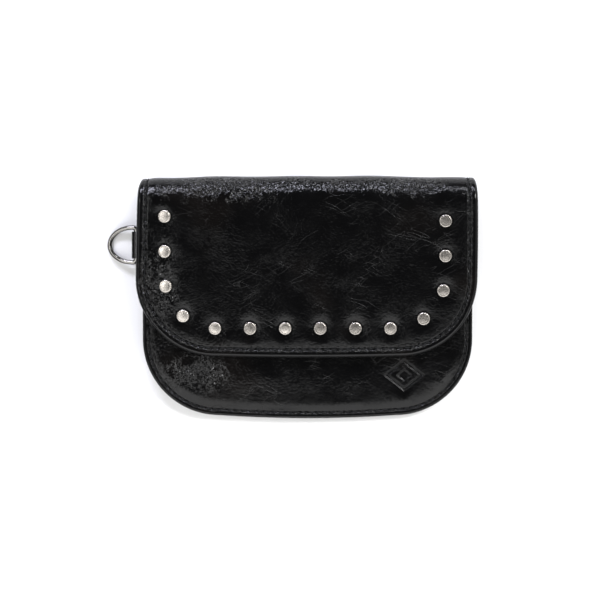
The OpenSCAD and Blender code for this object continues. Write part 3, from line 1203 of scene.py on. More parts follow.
@dataclass
class StudRow:
    """Studs along the flap: where they sit and what one looks like."""

    count: int = 14
    pitch: float = 13.5
    line: ULine = field(default_factory=lambda: ULine(107.8, SIZE.flap_start + 11.5,
                                                      SIZE.flap_start + 54.8, 20.0, 1e-6))
    shift: float = -1.0
    cap_r: float = 2.5
    lean: float = -0.25
    profile: tuple[Pair, ...] = (
        (0.0, 0.85), (0.7, 0.838), (1.2, 0.814), (1.6, 0.785), (1.85, 0.768), (1.98, 0.775),
        (2.08, 0.778), (2.17, 0.765), (2.26, 0.72), (2.34, 0.635), (2.4, 0.54), (2.455, 0.4),
        (2.49, 0.25), (2.5, 0.12), (2.5, -0.1), (2.3, -0.16), (0.8, -0.16), (0.8, -1.5),
        (0.0, -1.5))

    def spots(self) -> Array:
        """Return the middle of every stud as x and v."""
        points, _ = self.line.at(np.arange(self.count) * self.pitch)
        points[:, 0] += self.shift
        return points

    def dimple(self, x: Array, v: Array, h: Array) -> Array:
        """Pull the leather down around each stud.

        Args:
            x: place across.
            v: place along.
            h: height of the leather without studs.

        Returns:
            The height with the studs pressed in.
        """
        for sx, sv in self.spots():
            rho = np.hypot(x - sx, v - sv)
            pull = 1 - smooth(self.cap_r + 0.15, self.cap_r + 4.2, rho)
            h = h * (1 - pull) - 0.05 * pull - 0.12 * bell(rho - self.cap_r - 0.3, 0.7)
        return h

    def rings(self) -> list[Array]:
        """Return circles of extra points around every stud."""
        groups = []
        for sx, sv in self.spots():
            circle = []
            for j, r in enumerate((0.0, 1.2, 2.0, 2.45, 2.75, 3.1, 3.6, 4.3, 5.2, 6.2)):
                count = 1 if r == 0 else max(10, round(math.tau * r / 0.75))
                a = np.arange(count) * math.tau / count + 0.4 * j
                circle.append(np.stack([sx + r * np.cos(a), sv + r * np.sin(a)], 1))
            groups.append(np.concatenate(circle))
        return groups

    def build(self, finish: bpy.types.Material) -> None:
        """Make every stud as its own piece.

        Args:
            finish: the metal it shows.
        """
        rng = np.random.default_rng(SEED + 3)
        for i, (sx, sv) in enumerate(self.spots()):
            aside = max(0.0, self.lean * sx / self.line.width)
            a, b = rng.normal(0.0, 0.025, 2) + np.array([aside, 0.0])

            def place(x: Array, v: Array, h: float) -> Array:
                leaning = h + (x * a + v * b) * (h > 0)
                return SIZE.front_place(sx + x, sv + v, SIZE.flap_top + leaning)

            name = f"stud_{i + 1:02d}"
            mesh = turned_mesh(name, self.profile, 56, 50.0, place)
            add_rider(name + "_cap", mesh, Slot.NICKEL, finish, Body.FLAP, name)


@dataclass
class Cover:
    """The cover strip: flap, top fold and back, with its lining, board and seams."""

    finishes: Finishes
    studs: StudRow
    cuts: Pair = (120.0, 60.0)
    flap_thick: float = 2.5
    back_thick: float = 2.08
    hide_step: float = 0.55
    lining_step: float = 0.8

    def __post_init__(self) -> None:
        """Work out the cuts and outlines."""
        self.upper_v, self.lower_v = (SIZE.v_at(a) for a in self.cuts)
        self.flap_line = ULine(SIZE.flap_w, SIZE.flap_start, self.upper_v,
                               SIZE.flap_corner_r, SIZE.flap_bow)
        self.back_line = ULine(SIZE.body_w, -SIZE.total_v, -self.lower_v,
                               SIZE.corner_r, SIZE.bow)
        self.edge = EdgeShape(self.flap_thick, grain=Grain(SEED, 0.11))

    def back_scale(self, v: Array) -> Array:
        """Scale of the edge rows along the back, which narrow below the fold."""
        small = SIZE.body_seam / EDGE.seam
        wide = SIZE.body_w / SIZE.flap_w
        return small + (wide - small) * smooth(SIZE.flare_y, SIZE.fold_y, SIZE.back_y(-v))

    def face(self, x: Array, v: Array, d: Array) -> Array:
        """Height of the cover's face side."""
        turn = smooth(SIZE.fold_v - 3.0, SIZE.fold_v + 3.0, v)
        back = smooth(SIZE.back_v - 6.0, SIZE.back_v + 2.0, v)
        h = -self.edge.round_off(d) + 0.04 * bell(d - 1.35, 0.55) * (1 - back)
        h = h - (self.edge.groove - 0.08 * back) * bell(d - EDGE.seam, 0.52)
        inside = smooth(EDGE.seam + 0.4, EDGE.seam + 4.0, d)
        h = h + self.edge.puff * inside * (1 - 0.6 * turn) * (1 - back)
        h = h + self.edge.grain.at(x, v) * smooth(1.5, 6.0, d) * (1 - back)
        fold_wave = 0.16 * np.sin(x * 0.082 + 0.9) + 0.08 * np.sin(x * 0.21 + 2.2)
        h = h + fold_wave * turn * (1 - back) * inside
        return np.minimum(h, 0.0) * back + h * (1 - back)

    def flap_face(self, x: Array, v: Array, d: Array) -> Array:
        """Height of the flap's face side, with the studs pressed in."""
        h = self.face(x, v, d)
        far = smooth(SIZE.fold_v - 2.0, SIZE.fold_v + 1.0, v)
        return self.studs.dimple(x, v, h) * (1 - far) + h * far

    def over_fold(self, v: Array) -> Array:
        """Share of the way over the fold, where the board ends and the layers thin out."""
        return smooth(SIZE.fold_v - 4.0, self.upper_v, v)

    def flesh(self, x: Array, v: Array, d: Array) -> Array:
        """Height of the cover's flesh side."""
        thick = self.flap_thick + (self.back_thick - self.flap_thick) * self.over_fold(v)
        return bedded(-thick + self.edge.round_off(d) * thick / self.flap_thick, d)

    def lining_top(self, x: Array, v: Array, d: Array) -> Array:
        """Height of the lining's hidden side, deeper where the board lies above it."""
        return -(SIZE.leather + SIZE.board * (1 - self.over_fold(v)))

    def lining_bottom(self, x: Array, v: Array, d: Array) -> Array:
        """Height of the lining's seen side, with its cut edge and the seam's pull."""
        cut = 0.16 * bell(d - LINING_EDGE, 0.16)
        tuck = 0.12 * bell(d - EDGE.seam, 0.6)
        return self.lining_top(x, v, d) - SIZE.lining + cut + tuck

    def strip(self) -> Panel:
        """Pattern of the short strip between the two cuts."""
        rows = EDGE.rows()
        left = [-SIZE.flap_w / 2 + r for r in rows]
        middle = list(np.arange(left[-1] + 1.5, -left[-1] - 0.7, 1.5))
        xs = np.array([*left, *middle, *[-p for p in reversed(left)]])
        edge = np.minimum(SIZE.flap_w / 2 - np.abs(xs), EDGE.middle())
        vs = np.linspace(self.upper_v, self.lower_v, 19)
        points = np.array([[x, v] for v in vs for x in xs])
        return Panel(points, np.tile(edge, len(vs)), points[:, 1], grid_faces(len(vs), len(xs)))

    def on_back(self, height: Height) -> Height:
        """Use a height of the strip on the back's pattern, which is drawn upside down."""
        return lambda x, v, d: height(x, -v, d)

    def back_place(self, x: Array, v: Array, h: Array) -> Array:
        """Place on the back piece, whose pattern is drawn upside down and widened."""
        w = -v
        return SIZE.cover_place(x * SIZE.flare(w), w, h)

    def add(self, mesh: bpy.types.Mesh, slot: Slot, fold: Fold, *nodes: str) -> None:
        """Add a piece of the cover that lies over one fold line.

        Args:
            mesh: its mesh, which gives it its name.
            slot: the record's material slot.
            fold: the fold it lies over.
            nodes: the nodes it stands for.
        """
        obj = new_object(mesh.name, mesh, slot, self.finishes.of(slot))
        depth = SIZE.leather + (SIZE.lining if slot is Slot.LINING else 0.0)
        a, b, *degrees = fold.value
        start, end = (SIZE.arc_point(t, depth) for t in degrees)
        step = (end - start).normalized() * MM
        if a is Body.UPPER:
            start += step
        if b is Body.LOWER:
            end -= step
        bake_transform(obj)
        if nodes:
            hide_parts(*nodes)

    def fill_rows(self, flat: Array, step: float) -> list[float]:
        """Rows of filling points on the flap: the flat part's, then denser ones over the fold."""
        return [*flat, *np.arange(SIZE.fold_v - 0.6, self.upper_v - 0.35, step)]

    def back_rows(self, flat_step: float, step: float) -> list[float]:
        """Rows of filling points on the back: flat part, then denser ones over the fold."""
        return [*np.arange(6.0 - SIZE.total_v, -SIZE.back_v - 0.6, flat_step),
                *np.arange(-SIZE.back_v, -self.lower_v - 0.35, step)]

    def build_hide(self) -> None:
        """Make the three pieces of outer leather."""
        flat = np.arange(SIZE.flap_start + 6.8, SIZE.fold_v - 1.0, 1.35)
        rows = [*self.fill_rows(flat, self.hide_step), self.upper_v - 0.2]
        flap = CUTTER.cut(self.flap_line, np.ones_like, rows, extra=self.studs.rings())
        holes = seam_places(self.flap_line, np.ones_like, 0.0)[0]
        face = with_holes(self.flap_face, holes, 0.45, 0.46)
        mesh = flap.shell("flap_hide", SIZE.cover_place, face, self.flesh)
        self.add(mesh, Slot.HIDE, Fold.FLAP, "flap_leather", "spine_upper_leather")

        mesh = self.strip().shell("fold_hide", SIZE.cover_place, self.face, self.flesh)
        self.add(mesh, Slot.HIDE, Fold.MIDDLE, "spine_lower_leather")

        rows = [*self.back_rows(1.5, self.hide_step), -self.lower_v - 0.2]
        back = CUTTER.cut(self.back_line, self.back_scale, rows)
        holes = seam_places(self.back_line, self.back_scale, 0.0)[0]
        face = with_holes(self.on_back(self.face), holes, 0.45, 0.46)
        mesh = back.shell("back_hide", self.back_place, face, self.on_back(self.flesh))
        self.add(mesh, Slot.HIDE, Fold.BACK, "back_leather")

    def build_seams(self) -> None:
        """Make the thread on the flap, over the fold and on the back."""
        seam = seam_places(self.flap_line, np.ones_like, 0.5)
        mesh = stitch_mesh("flap_thread", *seam, SIZE.cover_place, self.face, 0.56)
        self.add(mesh, Slot.THREAD, Fold.FLAP, "flap_stitching")

        span = self.lower_v - self.upper_v
        count = int(span // SIZE.stitch_pitch)
        vs = self.upper_v + (np.arange(count) + 0.5) * span / count
        x = SIZE.flap_w / 2 - EDGE.seam
        points = np.array([[side * x, v] for side in (-1, 1) for v in vs])
        heads = np.tile([0.0, 1.0], (len(points), 1))
        mesh = stitch_mesh("fold_thread", points, heads, SIZE.cover_place, self.face, 0.56)
        self.add(mesh, Slot.THREAD, Fold.MIDDLE)

        seam = seam_places(self.back_line, self.back_scale, 0.5)
        mesh = stitch_mesh("back_thread", *seam, self.back_place, self.on_back(self.face))
        self.add(mesh, Slot.THREAD, Fold.BACK, "back_stitching")

    def build_lining(self) -> None:
        """Make the three pieces of lining."""
        flat = np.arange(SIZE.flap_start + 7.0, SIZE.fold_v - 1.0, 2.4)
        rows = self.fill_rows(flat, self.lining_step)
        flap = CUTTER.cut(self.flap_line, np.ones_like, rows, LINING_EDGE, holes=[SNAP_HOLE])
        mesh = flap.shell("flap_inside", SIZE.cover_place, self.lining_top, self.lining_bottom)
        self.add(mesh, Slot.LINING, Fold.FLAP, "flap_lining", "spine_upper_lining")

        strip = self.strip()
        keep = {i for i, d in enumerate(strip.edge) if d >= LINING_EDGE}
        strip.faces = [f for f in strip.faces if all(i in keep for i in f)]
        mesh = strip.shell("fold_inside", SIZE.cover_place, self.lining_top, self.lining_bottom)
        self.add(mesh, Slot.LINING, Fold.MIDDLE, "spine_lower_lining")

        rows = self.back_rows(2.6, self.lining_step)
        back = CUTTER.cut(self.back_line, self.back_scale, rows, LINING_EDGE)
        mesh = back.shell("back_inside", self.back_place,
                          self.on_back(self.lining_top), self.on_back(self.lining_bottom))
        self.add(mesh, Slot.LINING, Fold.BACK, "back_lining")

    def build_board(self) -> None:
        """Make the board in the flap."""
        line = ULine(SIZE.flap_w, SIZE.flap_start, SIZE.fold_v - 2.0,
                     SIZE.flap_corner_r, SIZE.flap_bow)
        rows = np.arange(SIZE.flap_start + 8.0, SIZE.fold_v - 4.0, 3.0)
        board = CUTTER.cut(line, np.ones_like, rows, 2.0, holes=[SNAP_HOLE])
        mesh = board.shell("flap_board", SIZE.cover_place,
                           lambda x, v, d: np.full(len(x), -SIZE.leather - 0.02),
                           lambda x, v, d: np.full(len(x), -SIZE.leather - SIZE.board + 0.02))
        add_rider("flap_board", mesh, Slot.BOARD, self.finishes.board, Body.FLAP, "flap_stiffener")

    def build(self) -> None:
        """Make every piece of the cover."""
        self.build_hide()
        self.build_seams()
        self.build_lining()
        self.build_board()


@dataclass
class Front:
    """Front panel with its lining, seam, pressed mark and hole for the snap."""

    finishes: Finishes
    thick: float = 2.08
    mark_x: float = 37.3
    mark_v: float = 17.0
    mark_w: float = 15.4
    mark_h: float = 12.3
    mark_inner: float = 0.77
    mark_core: float = 0.36
    mark_depth: float = 0.38
    mark_soft: float = 0.24

    def __post_init__(self) -> None:
        """Work out the outline."""
        self.line = ULine(SIZE.body_w, 0.0, SIZE.front_len, SIZE.corner_r, SIZE.bow)
        self.narrow = SIZE.body_seam / EDGE.seam
        self.edge = EdgeShape(self.thick, puff=0.2, groove=0.32, grain=Grain(SEED + 5, 0.1))

    def scale(self, v: Array) -> Array:
        """Scale of the edge rows, the same all along."""
        return np.full_like(v, self.narrow)

    def place(self, x: Array, v: Array, h: Array) -> Array:
        """Place on the front at height h above its face."""
        return SIZE.front_place(x, v, SIZE.lining + SIZE.leather + h)

    def lozenge(self, x: Array, v: Array, size: float) -> Array:
        """Distance outside a lozenge in the mark, negative inside."""
        a, b = self.mark_w / 2 * size, self.mark_h / 2 * size
        reach = np.abs(x - self.mark_x) / a + np.abs(v - self.mark_v) / b
        return (reach - 1) * a * b / math.hypot(a, b)

    def mark(self, x: Array, v: Array) -> Array:
        """Depth pressed by the mark: a lozenge outline around a small solid one."""
        soft = self.mark_soft
        sizes = (1.0, self.mark_inner, self.mark_core)
        outer, inner, core = (self.lozenge(x, v, size) for size in sizes)
        ring = (1 - smooth(-soft, soft, outer)) * smooth(-soft, soft, inner)
        around = 0.12 * bell(np.maximum(outer, 0.0), 1.6)
        return self.mark_depth * np.maximum(ring, 1 - smooth(-soft, soft, core)) + around

    def mark_points(self) -> Array:
        """Points in lines along the sides of the mark's lozenges."""
        a, b = self.mark_w / 2, self.mark_h / 2
        unit = math.hypot(a, b) / (a * b)
        levels = [0.0, 0.13, 0.24, 0.47, 0.57, 0.67, 0.885, 1.12, 1.24, 1.38, 1.54]
        for side in (1.0, self.mark_inner, self.mark_core):
            levels += [side + unit * off for off in (-0.27, -0.13, 0.0, 0.13, 0.27)]
        both = np.array(sorted({sign * level for level in levels for sign in (-1.0, 1.0)}))
        p, q = (half.ravel() / 2 for half in np.meshgrid(both, both))
        return np.stack([self.mark_x + a * (p + q), self.mark_v + b * (p - q)], 1)

    def mouth(self, v: Array) -> Array:
        """Distance from the mouth edge, in the edge rows' nominal scale."""
        return (SIZE.front_len - v) / self.narrow

    def face(self, x: Array, v: Array, d: Array) -> Array:
        """Height of the face side."""
        fill = 0.55 * smooth(1.0, 17.0, v) - 0.45 * smooth(15.0, 27.0, v)
        h = self.edge.face(x, v, d) + fill * smooth(EDGE.seam, EDGE.seam + 9.0, d)
        m = self.mouth(v)
        groove = 0.24 * bell(m - EDGE.seam, 0.52) * smooth(2.0, 4.5, d)
        return h - self.edge.round_off(m) - groove - self.mark(x, v)

    def flesh(self, x: Array, v: Array, d: Array) -> Array:
        """Height of the flesh side."""
        near = np.minimum(d, self.mouth(v))
        return bedded(-self.thick + self.edge.round_off(near), near)

    def add(self, mesh: bpy.types.Mesh, slot: Slot, node: str) -> None:
        """Add a piece that rides on the front, named after its mesh."""
        add_rider(mesh.name, mesh, slot, self.finishes.of(slot), Body.FRONT, node)

    def build(self) -> None:
        """Make every piece of the front."""
        top = SIZE.front_len
        rows = [*np.arange(5.6, top - 5.0, 1.4), *np.arange(top - 4.0, top - 1.2, 0.5),
                *(top - np.array([0.95, 0.75, 0.55, 0.36, 0.2, 0.09, 0.03]))]
        panel = CUTTER.cut(self.line, self.scale, rows,
                           extra=[self.mark_points()], holes=[SNAP_HOLE])
        face = with_holes(self.face, seam_places(self.line, self.scale, 0.0)[0], 0.4, 0.44)
        mesh = panel.shell("front_hide", self.place, face, self.flesh)
        self.add(mesh, Slot.HIDE, "front_leather")

        seam = seam_places(self.line, self.scale, 0.5)
        mesh = stitch_mesh("front_thread", *seam, self.place, self.face)
        self.add(mesh, Slot.THREAD, "front_stitching")

        line = ULine(SIZE.body_w, 0.0, top - 1.1, SIZE.corner_r, SIZE.bow)
        inner = CUTTER.cut(line, self.scale, np.arange(5.0, top - 2.0, 2.6), LINING_EDGE)
        deep = -SIZE.leather - SIZE.lining
        mesh = inner.shell("front_inside", self.place,
                           lambda x, v, d: np.full(len(x), -SIZE.leather),
                           lambda x, v, d: deep + 0.16 * bell(d - LINING_EDGE, 0.16))
        self.add(mesh, Slot.LINING, "front_lining")


@dataclass
class Snap:
    """Magnetic snap: a nib on the flap and its seat on the front."""

    finish: bpy.types.Material

    def half(self, name: str, profile: Sequence[Pair], body: Body, node: str) -> None:
        """Turn one half of the snap.

        Args:
            name: the piece's name.
            profile: radius and height above the front lining's inner face, in order.
            body: the body it rides on.
            node: the node it stands for.
        """
        mesh = turned_mesh(name, profile, 64, 35.0,
                           lambda x, v, w: SIZE.front_place(x, SNAP_V + v, w))
        add_rider(name, mesh, Slot.NICKEL, self.finish, body, node)

    def build(self) -> None:
        """Make both halves."""
        face = SIZE.lining + SIZE.leather
        under = face + SIZE.flap_gap
        seat = [(0.0, SIZE.lining), (6.8, SIZE.lining), (7.0, SIZE.lining + 0.2)]
        seat += [(r, face + w) for r, w in (
            (7.0, -0.15), (6.93, 0.0), (6.75, 0.08), (6.4, 0.1), (5.4, 0.06), (5.2, -0.06),
            (4.9, -0.06), (4.7, 0.08), (3.3, 0.1), (3.0, 0.02), (2.9, -0.2), (2.9, -0.9),
            (0.0, -0.9))]
        nib = [(r, under + w) for r, w in (
            (0.0, 1.1), (6.8, 1.1), (7.0, 0.9), (7.0, 0.2), (6.9, 0.02), (6.5, -0.04), (4.4, -0.04),
            (4.2, 0.1), (3.2, 0.1), (2.55, 0.02), (2.5, -0.1), (2.48, -0.62), (2.3, -0.76),
            (2.0, -0.8), (0.0, -0.8))]
        self.half("snap_seat", seat, Body.FRONT, "front_snap")
        self.half("snap_nib", nib, Body.FLAP, "flap_snap")


@dataclass
class Ring:
    """D-shaped wire ring and the leather tab that holds it."""

    finishes: Finishes
    wire_r: float = 0.85
    half: float = 6.75
    reach: float = 10.6
    bend: float = 1.5
    table_gap: float = 0.05
    wire_sides: int = 28
    tab_w: float = 10.4
    ply: float = 0.8
    slack: float = 0.3
    tab_end_x: float = -54.0
    tab_turn_x: float = -60.5
    tab_turn: float = 62.0

    def __post_init__(self) -> None:
        """Find the bar's axis."""
        self.bar = joint_place("ring_swing")

    def path(self) -> Array:
        """Centre line of the wire in the ring's own plane, bar first."""
        quarter, corner = math.pi / 2, (self.bend, self.bend)
        points = [(0.0, y) for y in np.linspace(-self.half + self.bend, self.half - self.bend, 9)]
        points += arc((-self.bend, self.half - self.bend), corner, np.linspace(0, quarter, 9)[1:])
        points += arc((-self.bend, 0.0), (self.reach - self.bend, self.half),
                      np.linspace(quarter, 3 * quarter, 49)[1:-1])
        points += arc((-self.bend, -self.half + self.bend), corner,
                      np.linspace(-quarter, 0, 9)[:-1])
        return np.array(points)

    def build_wire(self) -> None:
        """Make the ring."""
        bar = self.bar
        droop = math.asin((bar[2] - self.wire_r - self.table_gap) / self.reach)
        flat = self.path()
        ahead = np.roll(flat, -1, 0) - np.roll(flat, 1, 0)
        ahead /= np.linalg.norm(ahead, axis=1)[:, None]
        side = np.stack([ahead[:, 1], -ahead[:, 0]], 1)
        angles = np.linspace(0, math.tau, self.wire_sides, endpoint=False)
        bm = bmesh.new()
        rings = []
        for p, q in zip(flat, side):
            out = p + np.outer(np.cos(angles) * self.wire_r, q)
            up = np.sin(angles) * self.wire_r
            x = out[:, 0] * math.cos(droop) - up * math.sin(droop)
            z = out[:, 0] * math.sin(droop) + up * math.cos(droop)
            at = np.stack([bar[0] + x, bar[1] + out[:, 1], bar[2] + z], 1) * MM
            rings.append([bm.verts.new(v) for v in at])
        join_rows(bm, [*rings, rings[0]])
        bmesh.ops.recalc_face_normals(bm, faces=bm.faces)
        mesh = finish_mesh("ring_wire", bm)
        add_rider("ring_wire", mesh, Slot.NICKEL, self.finishes.wire, Body.RING, "d_ring")

    def tab_line(self) -> Array:
        """Centre line of the tab's strip in X and Z: in on top, around the bar and back below."""
        bar, start = self.bar, math.radians(self.tab_turn)
        turn_r = self.wire_r + self.slack + self.ply / 2
        top = bar[2] + self.ply / 2
        points = [(self.tab_end_x, top), (self.tab_turn_x, top)]
        low = [(x, 2 * bar[2] - z) for x, z in reversed(points)]
        points += arc((bar[0], bar[2]), (turn_r, turn_r), np.linspace(start, math.tau - start, 33))
        return self.relax(np.array(points + low))

    @staticmethod
    def relax(line: Array) -> Array:
        """Resample a line evenly and round its corners."""
        for _ in range(3):
            step = np.linalg.norm(np.diff(line, axis=0), axis=1)
            s = np.concatenate([[0.0], np.cumsum(step)])
            even = np.linspace(0.0, s[-1], 110)
            line = np.stack([np.interp(even, s, line[:, 0]), np.interp(even, s, line[:, 1])], 1)
            for _ in range(4):
                line[1:-1] = 0.25 * line[:-2] + 0.5 * line[1:-1] + 0.25 * line[2:]
        return line

    def tab_profile(self) -> list[Pair]:
        """Cross-section of the strip: Y and height, with rounded edges."""
        half, r = self.tab_w / 2, self.ply / 2 - 0.02
        right = np.linspace(-math.pi / 2, math.pi / 2, 9)
        left = np.linspace(math.pi / 2, 3 * math.pi / 2, 9)
        profile = arc((half - r, 0.0), (r, r), right)
        profile += [(y, r) for y in np.linspace(half - r - 1.0, -half + r + 1.0, 9)]
        profile += arc((-half + r, 0.0), (r, r), left)
        return profile + [(y, -r) for y in np.linspace(-half + r + 1.0, half - r - 1.0, 9)]

    def build_tab(self) -> None:
        """Make the tab as one folded strip with rounded edges."""
        line = self.tab_line()
        ahead = np.gradient(line, axis=0)
        ahead /= np.linalg.norm(ahead, axis=1)[:, None]
        out = np.stack([-ahead[:, 1], ahead[:, 0]], 1)
        profile = self.tab_profile()
        s = np.concatenate([[0.0], np.cumsum(np.linalg.norm(np.diff(line, axis=0), axis=1))])
        bm = bmesh.new()
        rings = []
        for p, q in zip(line, out):
            at = [(p[0] + q[0] * h, self.bar[1] + y, p[1] + q[1] * h) for y, h in profile]
            rings.append([bm.verts.new(np.array(v) * MM) for v in at])
        m = len(profile)
        join_rows(bm, rings, lambda i, j: (s[i] * MM + 0.7, profile[j % m][0] * MM + 0.2))
        bm.faces.new(rings[0])
        bm.faces.new(list(reversed(rings[-1])))
        bmesh.ops.recalc_face_normals(bm, faces=bm.faces)
        mesh = finish_mesh("ring_loop_tab", bm, 60.0)
        add_rider(mesh.name, mesh, Slot.HIDE, self.finishes.hide, Body.BACK, "ring_tab")

    def build(self) -> None:
        """Make the ring and its tab."""
        self.build_wire()
        self.build_tab()


@dataclass
class Inside:
    """Card pockets and the folded side walls."""

    finishes: Finishes
    pocket_w: float = 96.0
    pocket_low: float = -39.0
    low_step: float = 5.0
    pocket_top: float = 12.0
    top_step: float = 8.0
    pocket_t: float = 0.5
    corner: float = 4.0
    turned_edge: tuple[Pair, ...] = (
        (0.0, 0.0), (0.0, 0.28), (0.05, 0.4), (0.18, 0.48), (1.6, 0.48), (1.85, 0.4),
        (2.15, 0.4), (2.4, 0.48), (6.0, 0.48))
    wall_t: float = 0.55
    wall_inset: float = 1.7
    wall_fold: float = 8.0

    def pocket_ring(self, low: float, high: float, inset: float) -> list[Pair]:
        """Outline of a pocket, some way in from its edge.

        Args:
            low: its bottom.
            high: its top.
            inset: distance in from the edge.

        Returns:
            The points, with rounded top corners.
        """
        half, r = self.pocket_w / 2, self.corner
        ring = []
        for cx, a0 in ((half - r, 0), (-half + r, 90)):
            rr = max(r - inset, 0.05)
            middle = (cx - np.sign(cx) * max(inset - r, 0), high - r - max(inset - r, 0))
            ring += arc(middle, (rr, rr), np.radians(np.linspace(a0, a0 + 90, 13)))
        return ring + [(-half + inset, low + inset * 0.2), (half - inset, low + inset * 0.2)]

    def pocket(self, i: int) -> None:
        """Make one card pocket with a turned top edge.

        Args:
            i: its number, 0 lying deepest.
        """
        low = self.pocket_low + i * self.low_step
        high = self.pocket_top - i * self.top_step
        floor = SIZE.seam_z + i * self.pocket_t
        bm = bmesh.new()
        rings, flats = [], []
        for inset, up in self.turned_edge:
            flats.append(self.pocket_ring(low, high, inset))
            rings.append([bm.verts.new(Vector((x, y, floor + up)) * MM) for x, y in flats[-1]])
        m = len(rings[0])

        def uv(row: int, j: int) -> Pair:
            x, y = flats[row][j % m]
            return x * MM + 0.1 * i, y * MM

        join_rows(bm, rings, uv)
        layer = bm.loops.layers.uv[UV_NAME]
        for row, order in ((len(rings) - 1, range(m)), (0, range(m)[::-1])):
            made = bm.faces.new([rings[row][j] for j in order])
            for loop, j in zip(made.loops, order):
                loop[layer].uv = uv(row, j)
        bmesh.ops.recalc_face_normals(bm, faces=bm.faces)
        name = f"card_pocket_{i + 1}"
        mesh = finish_mesh(name, bm, 35.0)
        add_rider(name + "_hide", mesh, Slot.LINING, self.finishes.lining, Body.BACK, name)

    def wall_rows(self, side: int, ys: Array, fractions: Array) -> list[list[Point]]:
        """Points of a side wall, with its inward fold and its lift over the ring's tab.

        Args:
            side: -1 for the left, 1 for the right.
            ys: the Y of every row.
            fractions: shares of the way up.

        Returns:
            The rows of points in millimetres.
        """
        rows = []
        for y in ys:
            edge = self.edge_x(y)
            height = max((y - SIZE.bottom_y) * math.tan(SIZE.wedge) - 0.06, 0.05)
            depth = self.wall_fold * float(smooth(-40.0, 22.0, np.array(y)))
            near = float(bell(y - joint_place("ring_swing")[1], 6.5)) if side < 0 else 0.0
            row = []
            for t in fractions:
                tip = 1 - abs(2 * t - 1)
                tip = tip - 0.18 * max(tip - 0.72, 0.0) / 0.28
                lift = 1.7 * near * (1 - t) ** 2
                row.append((side * (edge - depth * tip), y, SIZE.seam_z + 0.03 + height * t + lift))
            rows.append(row)
        return rows

    def wall(self, side: int) -> None:
        """Make one folded side wall.

        Args:
            side: -1 for the left, 1 for the right.
        """
        ys = np.linspace(-44.0, 22.6, 60)
        fractions = np.linspace(0.0, 1.0, 31)
        bm = bmesh.new()
        layer = bm.loops.layers.uv.new(UV_NAME)
        rows = self.wall_rows(side, ys, fractions)
        grid = [[bm.verts.new(Vector(p) * MM) for p in row] for row in rows]
        for i in range(len(grid) - 1):
            for j in range(len(fractions) - 1):
                corners = ((i, j), (i + 1, j), (i + 1, j + 1), (i, j + 1))
                made = bm.faces.new([grid[a][b] for a, b in corners])
                for loop, (a, b) in zip(made.loops, corners):
                    loop[layer].uv = (ys[a] * MM + 0.5, fractions[b] * 0.018)
        bmesh.ops.recalc_face_normals(bm, faces=bm.faces)
        bmesh.ops.solidify(bm, geom=list(bm.faces), thickness=self.wall_t * MM * 0.5)
        name = "gusset_left" if side < 0 else "gusset_right"
        obj = new_object(name + "_hide", finish_mesh(name, bm, 50.0), Slot.HIDE, self.finishes.hide)
        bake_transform(obj)
        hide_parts(name)

    def edge_x(self, y: float) -> float:
        """Half width of the wall's edge at a height on the back."""
        base = SIZE.bottom_y + SIZE.bow + SIZE.corner_r
        if y >= base:
            return SIZE.body_w / 2 - self.wall_inset
        r = SIZE.corner_r - self.wall_inset
        drop = min(base - y, r * 0.998)
        return SIZE.body_w / 2 - SIZE.corner_r + math.sqrt(r * r - drop * drop)

    def build(self) -> None:
        """Make every inside piece."""
        for i in range(3):
            self.pocket(i)
        for side in (-1, 1):
            self.wall(side)


@dataclass(frozen=True)
class Softbox:
    """One studio light: where it stands, its size and strength."""

    name: str
    at: tuple[float, float, float]
    size: tuple[float, float]
    watts: float
    colour: tuple[float, float, float] = (1.0, 1.0, 1.0)
    aim: tuple[float, float, float] = (0.0, 0.0, 0.0)

    def build(self) -> None:
        """Hang the light, facing its aim."""
        data = bpy.data.lights.new(self.name, "AREA")
        data.shape = "RECTANGLE"
        data.size, data.size_y = self.size
        data.energy = self.watts
        data.color = self.colour
        obj = bpy.data.objects.new(self.name, data)
        obj.location = self.at
        facing = Vector(self.aim) - Vector(self.at)
        obj.rotation_euler = facing.to_track_quat("-Z", "Y").to_euler()
        bpy.context.scene.collection.objects.link(obj)


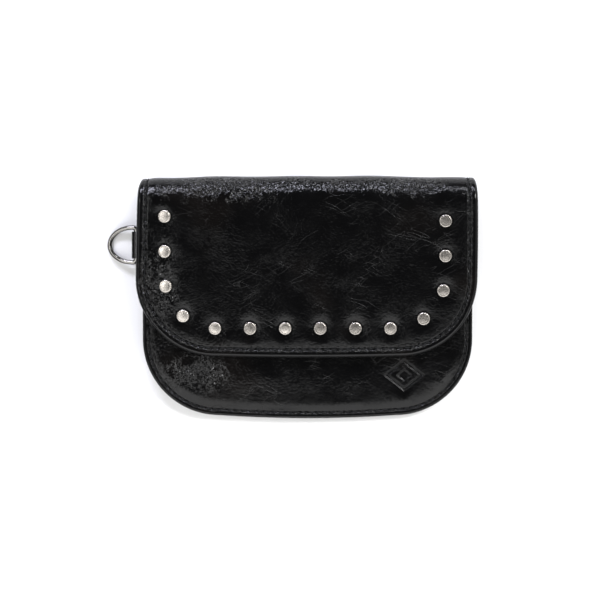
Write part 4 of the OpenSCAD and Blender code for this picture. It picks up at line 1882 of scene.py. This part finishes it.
@dataclass
class Studio:
    """Pale floor, soft lights and the camera straight above."""

    field_w: float = 231.0
    centre: tuple[float, float] = (-2.9, -0.96)
    distance: float = 1500.0
    focus_z: float = 9.0

    def floor(self) -> None:
        """Lay the floor."""
        mesh = bpy.data.meshes.new("floor")
        half = 4.0
        corners = [(-half, -half, 0), (half, -half, 0), (half, half, 0), (-half, half, 0)]
        mesh.from_pydata(corners, [], [(0, 1, 2, 3)])
        obj = bpy.data.objects.new("floor", mesh)
        bpy.context.scene.collection.objects.link(obj)
        n = Nodes("pale_floor")
        n.set(Base_Color=(0.65, 0.65, 0.648, 1.0), Roughness=0.9, IOR=1.2)
        mesh.materials.append(n.material)

    def camera(self) -> None:
        """Place the camera."""
        data = bpy.data.cameras.new("camera")
        data.sensor_width = 36.0
        data.lens = data.sensor_width * self.distance / self.field_w
        data.clip_start = 0.05
        data.clip_end = 50.0
        obj = bpy.data.objects.new("camera", data)
        x, y = self.centre
        obj.location = Vector((x, y, self.focus_z + self.distance)) * MM
        bpy.context.scene.collection.objects.link(obj)
        bpy.context.scene.camera = obj

    def world(self) -> None:
        """Fill the room with soft light."""
        world = bpy.data.worlds.new("room")
        world.use_nodes = True
        shade = world.node_tree.nodes["Background"]
        shade.inputs["Color"].default_value = (1.0, 1.0, 1.0, 1.0)
        shade.inputs["Strength"].default_value = 0.06
        bpy.context.scene.world = world

    def build(self) -> None:
        """Set up the whole studio."""
        self.floor()
        self.camera()
        self.world()
        for box in (
            Softbox("top_wall", (0.0, 1.1, 0.72), (2.0, 1.05), 0.9, (0.93, 0.95, 1.0),
                    aim=(0.0, 0.0, 0.72)),
            Softbox("right_wall", (0.96, 0.0, 0.62), (1.9, 0.95), 6.5),
            Softbox("left_wall", (-0.74, 0.0, 0.91), (1.9, 0.75), 6.2),
            Softbox("low_wall", (0.0, -0.84, 0.74), (1.8, 1.0), 18.5),
            Softbox("top_left_lamp", (-0.3, 0.88, 0.56), (0.46, 0.18), 13.0, (0.84, 0.85, 1.0)),
            Softbox("top_right_lamp", (0.34, 0.88, 0.6), (0.34, 0.15), 6.0, (0.92, 0.93, 1.0)),
            Softbox("left_lamp", (-0.6, 0.1, 0.98), (0.28, 0.3), 2.4),
            Softbox("right_lamp", (0.62, 0.36, 0.8), (0.26, 0.26), 8.5),
        ):
            box.build()
        view = bpy.context.scene.view_settings
        view.view_transform = "Standard"
        view.look = "None"


def dress_cad(finishes: Finishes) -> None:
    """Give the nodes that stay their finish.

    Args:
        finishes: every finish.
    """
    backs = frame["nodes"]["stud_backs"]
    backs.data.materials.clear()
    backs.data.materials.append(finishes.stud)


def main() -> None:
    """Build the wallet piece by piece."""
    logging.basicConfig(level=logging.INFO, format="%(name)s: %(message)s")
    Studio().build()
    finishes = Finishes()
    studs = StudRow()
    Cover(finishes, studs).build()
    studs.build(finishes.stud)
    Front(finishes).build()
    Snap(finishes.stud).build()
    Ring(finishes).build()
    Inside(finishes).build()
    dress_cad(finishes)


if __name__ == "__main__":
    main()
